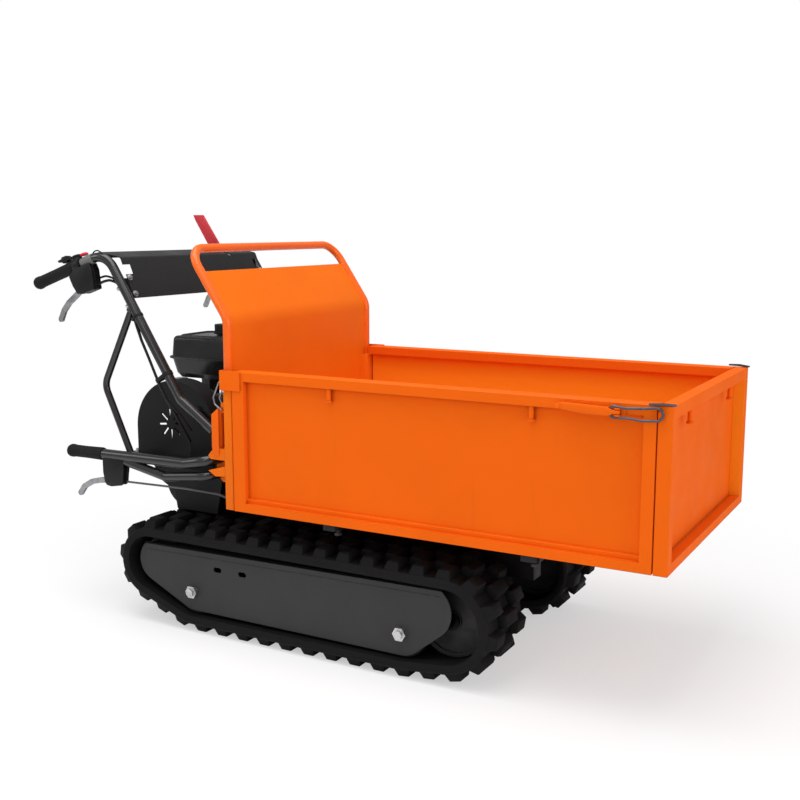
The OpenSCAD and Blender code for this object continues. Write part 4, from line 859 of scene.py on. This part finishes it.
def stop_cap():
    bm = bmesh.new()
    dome = [(0, 0), (0.0092, 0), (0.0104, 0.0010), (0.0104, 0.0026), (0.0086, 0.0050), (0.0045, 0.0062),
            (0, 0.0066)]
    lathe(bm, on_bar(174, 15.8, -BAR_Y_MM), GRIP_UP, dome, 32)
    show("stop_cap", bm, red_plastic, "stop_button", 60, "stop_button")


def throttle_thumb():
    """The throttle's hub, arm, thumb block and tab, each outline (along, outward) in mm from the hub."""
    bm = bmesh.new()
    base = on_bar(150, 19.0, -BAR_Y_MM)
    lathe(bm, base, GRIP_UP, [(0, 0), (0.0112, 0), (0.0112, 0.0036), (0.0100, 0.0050), (0, 0.0052)], 32)

    def level(outline, h):
        return [base + GRIP_DIR * (a * 0.001) + Vector((0, -b * 0.001, 0)) + GRIP_UP * (h * 0.001)
                for a, b in outline]

    arm = [(4, -8), (-10, -10), (-34, -9), (-38, 0), (-34, 9), (-12, 10), (0, 9)]
    thumb = [(-46, -10), (-29, -11), (-26, 10), (-43, 11)]
    tab = [(-62, -7), (-42, -8), (-42, 8), (-60, 7)]
    blocks = ((arm, 0.4, 4.6, 0.0012), (thumb, -2.4, 13.5, 0.0022), (tab, 5, 11, 0.0022))
    for outline, low, high, round_by in blocks:
        prism(bm, level(outline, low), level(outline, high), round_by)
    show("throttle_thumb", bm, black_plastic, "throttle_lever", 40, "throttle_lever")


def shift_lever():
    bm = bmesh.new()
    outline = [(-550, 827), (-536, 834), (-538, 846), (-569, 901), (-622, 979.5), (-656, 979.5), (-646, 963),
               (-605, 899), (-554, 836)]
    plate(bm, outline, 146.6, 153.4, 0.0022, 3)
    show("shift_lever", bm, red_coat, "gear_lever", 40, "gear_lever")


# Console between the handlebars, and the bolts

CONSOLE_LOW, CONSOLE_TOP, CONSOLE_BACK = mm(-497, 0, 781), mm(-537, 0, 877), mm(-612, 0, 889)
CONSOLE_HALF, NOTCH_Y = 0.2680, 0.243
GEAR_SLOT = (0.143, 0.157)
SHEET_T = 0.0025


def on_face(share):
    """A place on the console's face, as a share of its height."""
    return CONSOLE_LOW.lerp(CONSOLE_TOP, share)


def console():
    """Strips of folded sheet that leave the notches and the gear slot open, with the gear lever's ears."""
    outer = rounded_path([CONSOLE_LOW, CONSOLE_TOP, CONSOLE_BACK, CONSOLE_BACK + mm(-3, 0, -16)], 0.009, 5)
    strips = [(-NOTCH_Y, GEAR_SLOT[0], outer), (GEAR_SLOT[1], NOTCH_Y, outer)]
    for y0, y1 in ((-CONSOLE_HALF, -NOTCH_Y), (NOTCH_Y, CONSOLE_HALF)):
        strips.append((y0, y1, [on_face(0), on_face(0.58)]))
        strips.append((y0, y1, [on_face(0.82)] + outer[1:]))
    strips.append((GEAR_SLOT[0], GEAR_SLOT[1], [on_face(0), on_face(0.9)]))
    bm = bmesh.new()
    for y0, y1, path in strips:
        folded_sheet(bm, path, y0, y1, 0.0, SHEET_T)
    for y in (140.5, 154.5):
        plate(bm, [(-560, 826), (-533, 826), (-536, 868), (-560, 876)], y, y + 5, 0.0006, 1)
    gear_pin = [(0, 0), (0.006, 0), (0.006, 0.004), (0.004, 0.004), (0.004, 0.026), (0, 0.026)]
    lathe(bm, mm(-546, 139, 838), (0, 1, 0), gear_pin, 20)
    flange = [(-497, 781), (-519, 777), (-539, 827), (-516.5, 827)]
    for sign in SIGNS:
        plate(bm, flange, sign * 264, sign * 266.5, 0.0004, 1)
    show("console_sheet", bm, console_grey, "chassis", 40, "console_panel")


def bolt_heads():
    """Bolts of the console, its tubes, the feet and the guard, and the tray's hinge pins."""
    face = (CONSOLE_TOP - CONSOLE_LOW).normalized()
    out = Vector((face.z, 0, -face.x))
    back = Vector((BAR_DOWN.z, 0, -BAR_DOWN.x))
    bm = bmesh.new()
    for sign in SIGNS:
        for share, y in ((0.10, 261), (0.50, 261.5)):
            p = on_face(share)
            hex_bolt(bm, Vector((p.x, sign * y * 0.001, p.z)) + out * 0.0002, out, 0.0085, 0.0045)
        for reach in (0.092, 0.140):
            p = BAR_TOP + BAR_DOWN * reach + back * (BAR_R - 0.001)
            hex_bolt(bm, Vector((p.x, sign * (BAR_Y + 0.002), p.z)), back, 0.0085, 0.006, False)
        pin(bm, mm(450, sign * 76, 275), (0, sign, 0), 0.009, 0.048, 0.001, 28)
        for x in (-531, -489):
            hex_bolt(bm, mm(x, sign * 254, 390), (0, 0, 1), 0.0145, 0.0075)
    for x in (-576, -310):
        hex_bolt(bm, mm(x, -189, 388), (0, 0, 1), 0.0115, 0.006)
    show("bolt_heads", bm, zinc, "chassis", 35, "fasteners")


def upright_bolts():
    bm = bmesh.new()
    for sign in SIGNS:
        for share in (0.3, 0.62):
            p = BAR_END.lerp(BAR_LOW, share)
            place = Vector((p.x, sign * 0.2595, p.z))
            hex_bolt(bm, place, (0, -sign, 0), 0.0140, 0.0065)
            stud(bm, place, (0, sign, 0), 0.005, 0.012, 16)
    show("upright_bolts", bm, dark_zinc, "chassis", 35)


# Control cables with their straps and adjusters

def strap(bm, centre, along, normal, circles, wide, thick):
    """A flat band pulled round circles (offset along normal, offset in y, radius)."""
    side = Vector((0, 1, 0))
    points = []
    for n, y, r in circles:
        points += [(round(n + r * cos(a), 6), round(y + r * sin(a), 6)) for a in circle_angles(20)]
    outline = hull_2d(points)
    rings = []
    for push, run in ((0, -wide / 2), (thick, -wide / 2), (thick, wide / 2), (0, wide / 2)):
        ring = []
        for i, (n, y) in enumerate(outline):
            a, b = outline[i - 1], outline[(i + 1) % len(outline)]
            tx, ty = b[0] - a[0], b[1] - a[1]
            length = hypot(tx, ty) or 1.0
            spot = normal * (n + ty / length * push) + side * (y - tx / length * push)
            ring.append(bm.verts.new(centre + along * run + spot))
        rings.append(ring)
    ring_faces(bm, rings, True)


def cables():
    clutch = [(-604, 276, 811), (-586, 276, 818), (-569, 274, 822), (-552, 268, 816), (-530, 264, 790),
              (-505, 268, 752), (-488, 279, 733), (-468, 283, 684), (-445, 284, 640), (-421, 283, 588),
              (-402, 277, 545), (-384, 262, 500), (-372, 232, 440), (-372, 221, 384)]
    throttle = [(-606, -268, 826), (-590, -264, 831), (-570, -260, 826), (-545, -258, 800), (-506, -264, 746),
                (-484, -287, 731), (-463, -289, 683), (-440, -290, 640), (-416, -289, 588), (-397, -283, 546),
                (-374, -262, 508), (-356, -228, 450), (-352, -211, 384)]
    stop_wire = [(-617, -279, 873), (-614, -280, 885), (-605, -281, 891), (-594, -283, 892),
                 (-580, -285, 887), (-566, -284, 872), (-556, -276, 851), (-548, -266, 836)]
    bm = bmesh.new()
    for sign in SIGNS:
        rod(bm, [(x, sign * y, z) for x, y, z in clutch], 0.022, 0.0033, 12, 5)
    rod(bm, throttle, 0.022, 0.0026, 12, 5)
    rod(bm, stop_wire, 0.012, 0.0016, 10, 5)
    show("bar_cables", bm, cable_skin, "chassis", 60, "control_cables")


def cable_straps():
    normal = Vector((-BAR_DOWN.z, 0, BAR_DOWN.x))
    bm = bmesh.new()
    for sign in SIGNS:
        for x, z, wide in ((-488, 733, 0.006), (-419, 590, 0.009)):
            cable = mm(x, 0, z)
            centre = BAR_TOP + BAR_DOWN * (cable - BAR_TOP).dot(BAR_DOWN)
            off = (cable - centre).dot(normal)
            centre.y = sign * BAR_Y
            circles = [(0, 0, BAR_R + 0.0002), (off, sign * 0.003, 0.0058)]
            strap(bm, centre, BAR_DOWN, normal, circles, wide, 0.0012)
    show("cable_straps", bm, black_plastic, "chassis", 40)


def cable_adjusters():
    bm = bmesh.new()
    barrel = [(0.0, 0), (0.0042, 0), (0.0042, 0.006), (0.0056, 0.0065), (0.0056, 0.013), (0.0042, 0.0135),
              (0.0042, 0.019), (0.0034, 0.021), (0.0, 0.021)]
    for sign in SIGNS:
        lathe(bm, mm(-372, sign * 221, 406), (0, 0, -1), barrel, 16)
    show("cable_adjusters", bm, zinc, "chassis", 40)


handlebars()
grips()
lever_housings()
release_housing()
switch_clamp()
stop_cap()
throttle_thumb()
shift_lever()
console()
bolt_heads()
upright_bolts()
cables()
cable_straps()
cable_adjusters()


# Headboard with its hoop

HOOP_Y, HOOP_R = 302, 0.0100
POST_BACK, POST_FRONT = -202, -180
KNEE, RAIL = (-198, 745), (-303, 899.5)
BOARD_X, BOARD_LOW, BOARD_T = -197, 313, 0.003


def hoop():
    bm = bmesh.new()
    half = [(-198, 560), KNEE, RAIL]
    path = across(half, -HOOP_Y) + across(half[::-1], HOOP_Y)
    sweep(bm, rounded_path(path, 0.050, 12), HOOP_R, 28)
    show("hoop_tube", bm, hoop_coat, "tray", 40)


def board_sheet(bm):
    """The folded sheet, from the floor up to below the hoop's rail."""
    rail = mm(RAIL[0], 0, RAIL[1])
    slope = (rail - mm(KNEE[0], 0, KNEE[1])).normalized()
    top = rail - slope * 0.062
    fold = rounded_path([mm(BOARD_X, 0, BOARD_LOW), mm(BOARD_X, 0, KNEE[1]), top], 0.060, 8)
    folded_sheet(bm, fold, -HOOP_Y * 0.001, HOOP_Y * 0.001, BOARD_T / 2, BOARD_T / 2)


def board_side(bm, sign):
    """One side's post, latch ears with their pin, and welds between the sheet and the hoop."""
    plate(bm, rectangle(POST_BACK, BOARD_LOW, POST_FRONT, 606), sign * 278, sign * 318, 0.0012)
    plate(bm, rectangle(-204.5, 538, -201.5, 566), sign * 294, sign * 313, 0.0004, 1)
    ear = [(-203, 546.5), (-210, 546.5), (-214, 549), (-215.5, 552), (-214, 555), (-210, 557.5),
           (-203, 557.5)]
    for y in (295.4, 308.6):
        plate(bm, ear, sign * y, sign * (y + 3), 0.0004, 1)
    stud(bm, mm(-210, sign * 303.5 - 8.8, 552), (0, 1, 0), 0.0024, 0.0176, 16)
    bead(bm, circle_path(mm(-198, sign * HOOP_Y, 606.5), (0, 0, 1), HOOP_R + 0.0006, 28), 0.0024, True)
    weld_y = sign * (HOOP_Y - 8.5)
    for z in (640, 690, 725, 790, 832):
        above = z >= KNEE[1]
        x = KNEE[0] + 2.5 - (0.68 * (z - KNEE[1]) if above else 0)
        bead(bm, [mm(x, weld_y, z), mm(x - (14 if above else 0), weld_y, z + 20)], 0.0022)


def headboard():
    """The sheet with its bottom rail, both sides, and the tipping handle's ears and gussets."""
    bm = bmesh.new()
    board_sheet(bm)
    plate(bm, rectangle(POST_BACK, BOARD_LOW, -194, 333), -292, 292, 0.0006, 1)
    for sign in SIGNS:
        board_side(bm, sign)
    handle_ear = [(-197, 364), (-197, 450), (-236, 448), (-260, 430), (-264, 384), (-246, 362)]
    for y in (-271, -241):
        plate(bm, handle_ear, y, y + 5, 0.0008, 1)
    upper_gusset = [(-251, 433.5), (-234, 452), (-203, 452), (-203, 425), (-244, 425)]
    lower_gusset = [(-252, 398), (-203, 412), (-203, 388), (-232, 386)]
    for gusset in (upper_gusset, lower_gusset):
        plate(bm, gusset, -316, -311, 0.0008, 1)
    show("headboard_weldment", bm, board_coat, "tray", 40, "headboard")


# Toggle latches at the tray's corners

def front_lever(side, sign):
    """A sheet channel with a tongue at its pin and a curled end."""
    bm = bmesh.new()
    web = [(598, 612), (640, 607), (690, 606), (699, 609), (699, 619), (690, 622), (598, 624)]
    upper_flange = [(600, 621.6), (692, 619.8), (692, 622), (600, 624)]
    lower_flange = [(600, 612), (640, 607), (692, 606), (692, 608.2), (640, 609.2), (600, 614.2)]
    plate(bm, web, sign * 330.4, sign * 332.6, 0.0007)
    for flange in (upper_flange, lower_flange):
        plate(bm, flange, sign * 322.6, sign * 331, 0.0006, 1)
    plate(bm, rectangle(688, 610, 714, 618), sign * 323.4, sign * 332.4, 0.0018)
    inner = [(598, 330.4, 612), (598, 330.4, 624), (590, 335.2, 622), (590, 335.2, 613)]
    outer = [(598, 332.6, 612), (598, 332.6, 624), (590, 336.8, 622), (590, 336.8, 613)]
    prism(bm, mirrored(inner, sign), mirrored(outer, sign), 0.0006, 1)
    node = "latch_lever_front_" + side
    show("front_lever_" + side, bm, orange, node, 40, node)


def front_wire(side, sign):
    bm = bmesh.new()
    wire = [(697, 328, 615), (697, 328.5, 625.2), (726, 330, 622.4), (759, 329, 624.4), (784, 328, 627),
            (793.5, 328, 622), (794, 328, 610), (786, 328, 603.4), (756, 329.5, 602), (727, 330, 604.6),
            (697, 328.5, 602.6), (697, 328, 613)]
    sweep(bm, rounded_path(mirrored(wire, sign), 0.009, 6), 0.0025, 14)
    node = "latch_loop_front_" + side
    show("front_wire_" + side, bm, wire_steel, node, 60, node)


def hook_strip(side, sign):
    """The strip on the front panel's top corner that the wire catches."""
    bm = bmesh.new()
    outline = [(765, 322, 631), (786, 318, 632.2), (812, 309, 630.4), (815, 316, 630.4), (790, 328.5, 632.2),
               (767, 329, 631)]
    low = mirrored(outline, sign)
    prism(bm, low, [p + mm(0, 0, 3.6) for p in low], 0.0012)
    show("hook_strip_" + side, bm, wire_steel, "front_panel", 40)


def rear_lever(side, sign):
    """A wide sheet channel with a narrow neck at its pin."""
    bm = bmesh.new()
    neck = [(-206, 549), (-206.2, 555), (-210, 556.6), (-213.6, 554.5), (-217, 546.5), (-224, 538),
            (-224, 530), (-206, 534)]
    body = [(-217, 545.5), (-236, 530), (-236.5, 455), (-233, 440), (-226, 434.5), (-217, 436)]
    plate(bm, neck, sign * 299.4, sign * 307.6, 0.0008, 1)
    plate(bm, body, sign * 299, sign * 310.8, 0.0016)
    plate(bm, body, sign * 317.0, sign * 319.4)
    plate(bm, rectangle(-236, 456, -233.6, 475), sign * 310, sign * 318, 0.0004, 1)
    node = "latch_lever_rear_" + side
    show("rear_lever_" + side, bm, orange, node, 40, node)


def rear_wire(side, sign):
    bm = bmesh.new()
    wire = [(-210, 305, 540), (-210, 313.9, 540), (-229, 313.9, 553), (-233, 313.9, 568), (-216, 313, 605.5),
            (-216, 291, 605.5), (-234, 290, 563), (-226, 289.6, 547), (-210, 290.4, 540), (-210, 302, 540)]
    sweep(bm, rounded_path(mirrored(wire, sign), 0.006, 5), 0.0020, 12)
    node = "latch_loop_rear_" + side
    show("rear_wire_" + side, bm, latch_wire, node, 60, node)


hoop()
headboard()
for side, sign in SIDES:
    front_lever(side, sign)
    front_wire(side, sign)
    hook_strip(side, sign)
    rear_lever(side, sign)
    rear_wire(side, sign)


# Folds on the side covers and hems on the side panels

def fold_strip(section, x0, x1, steps, sign):
    """A strip along x in mm; section gives its (y, z) corners at a place x."""
    bm = bmesh.new()
    rows = []
    for k in range(steps + 1):
        x = x0 + (x1 - x0) * k / steps
        rows.append([bm.verts.new(mm(x, sign * y, z)) for y, z in section(x)])
    ring_faces(bm, rows)
    return bm


def cover_fold(x):
    """The sloping top edge of a side cover, which rises to the front."""
    (rear_x, rear_z), (front_x, front_z) = (-463, 191.5), (337, 202.6)
    z = rear_z + (front_z - rear_z) * (x - rear_x) / (front_x - rear_x)
    return [(300.6, z - 13.5), (300.6, z - 12.0), (291.0, z + 0.6), (262.0, z + 0.2), (262.0, z - 1.4),
            (290.0, z - 1.0), (298.6, z - 12.8)]


def panel_hem(x):
    """The folded hem on top of a side panel's bottom rail, the same all along."""
    rail_top, hem_top = 333, 343.5
    inner, outer = 304.8, 311
    return [(inner, rail_top - 1), (outer, rail_top - 1), (outer, hem_top - 2), (outer - 1.2, hem_top),
            (inner, hem_top)]


for side, sign in SIDES:
    # The folds wear the cover coat's darker copy, painted shade.
    fold = fold_strip(cover_fold, -456, 334, 24, sign)
    show("cover_fold_" + side, fold, cover_painted_shade, "chassis", 30)
for side, sign in SIDES:
    hem = fold_strip(panel_hem, -145.2, 756.2, 30, sign)
    show("panel_hem_" + side, hem, panel_coat, "side_panel_" + side, 30)


# Camera at the photograph's place

AZIMUTH = radians(28.89)
PITCH = radians(9.04)
CAMERA_AT = (1.3129, -2.2438, 0.9497)
FOCAL_PIXELS, IMAGE_PIXELS, SENSOR_MM = 1093.6, 800, 36
camera = placed("camera", bpy.data.cameras.new("camera"))
camera.location = CAMERA_AT
look = Vector((-sin(AZIMUTH) * cos(PITCH), cos(AZIMUTH) * cos(PITCH), -sin(PITCH)))
camera.rotation_euler = look.to_track_quat("-Z", "Y").to_euler()
camera.data.lens = FOCAL_PIXELS / IMAGE_PIXELS * SENSOR_MM
camera.data.sensor_width = SENSOR_MM
camera.data.clip_end = 100
scene.camera = camera


# Floor, world and lamps

WHITE = (1, 1, 1, 1)
FLOOR_GREY = (0.96, 0.96, 0.96, 1)


def make_floor():
    """A pale floor, plain white to the eye away from the object, so that only its shadow shows."""
    t = Surface("floor")
    distance = t.new("VectorMath", t.coord)
    distance.operation = "LENGTH"
    away = t.ramp(distance.outputs["Value"], 0.9, 1.6, 0.5)
    shown = t.math("MULTIPLY", away, t.background())
    lit = t.new("BsdfDiffuse", FLOOR_GREY)
    t.new("OutputMaterial", t.mixed_shaders(shown, lit, t.new("Emission", WHITE)))
    bm = bmesh.new()
    bmesh.ops.create_grid(bm, x_segments=1, y_segments=1, size=30)
    data = bpy.data.meshes.new("floor")
    bm.to_mesh(data)
    bm.free()
    data.materials.append(t.owner)
    floor = placed("floor", data)


def make_world(level):
    """White to the eye, and a plain light of this level on the object."""
    scene.world = bpy.data.worlds.new("studio")
    t = Tree(scene.world)
    light = t.new("Background", WHITE, level)
    t.new("OutputWorld", t.mixed_shaders(t.background(), light, t.new("Background", WHITE)))


def lamp(name, place, target, size, watts):
    data = bpy.data.lights.new(name, "AREA")
    data.shape = "RECTANGLE"
    data.size, data.size_y = size
    data.energy = watts
    box = placed(name, data)
    box.location = place
    box.rotation_euler = (Vector(target) - Vector(place)).to_track_quat("-Z", "Y").to_euler()


make_floor()
make_world(0.46)
lamp("top_box", (-0.2, -0.5, 3.2), (0.0, 0.0, 0.3), (3.0, 2.2), 76)
lamp("key_box", (0.4, -2.6, 2.5), (-0.2, -0.1, 0.6), (0.7, 2.0), 11)
lamp("side_box", (-1.2, -3.4, 1.9), (0.0, 0.0, 0.4), (2.6, 1.6), 5)
lamp("front_box", (3.6, -0.9, 1.5), (0.3, 0.0, 0.4), (1.8, 1.6), 36)
lamp("rear_box", (-2.5, -1.7, 1.8), (-0.5, -0.2, 0.5), (0.5, 1.4), 8)
scene.view_settings.view_transform = "Standard"
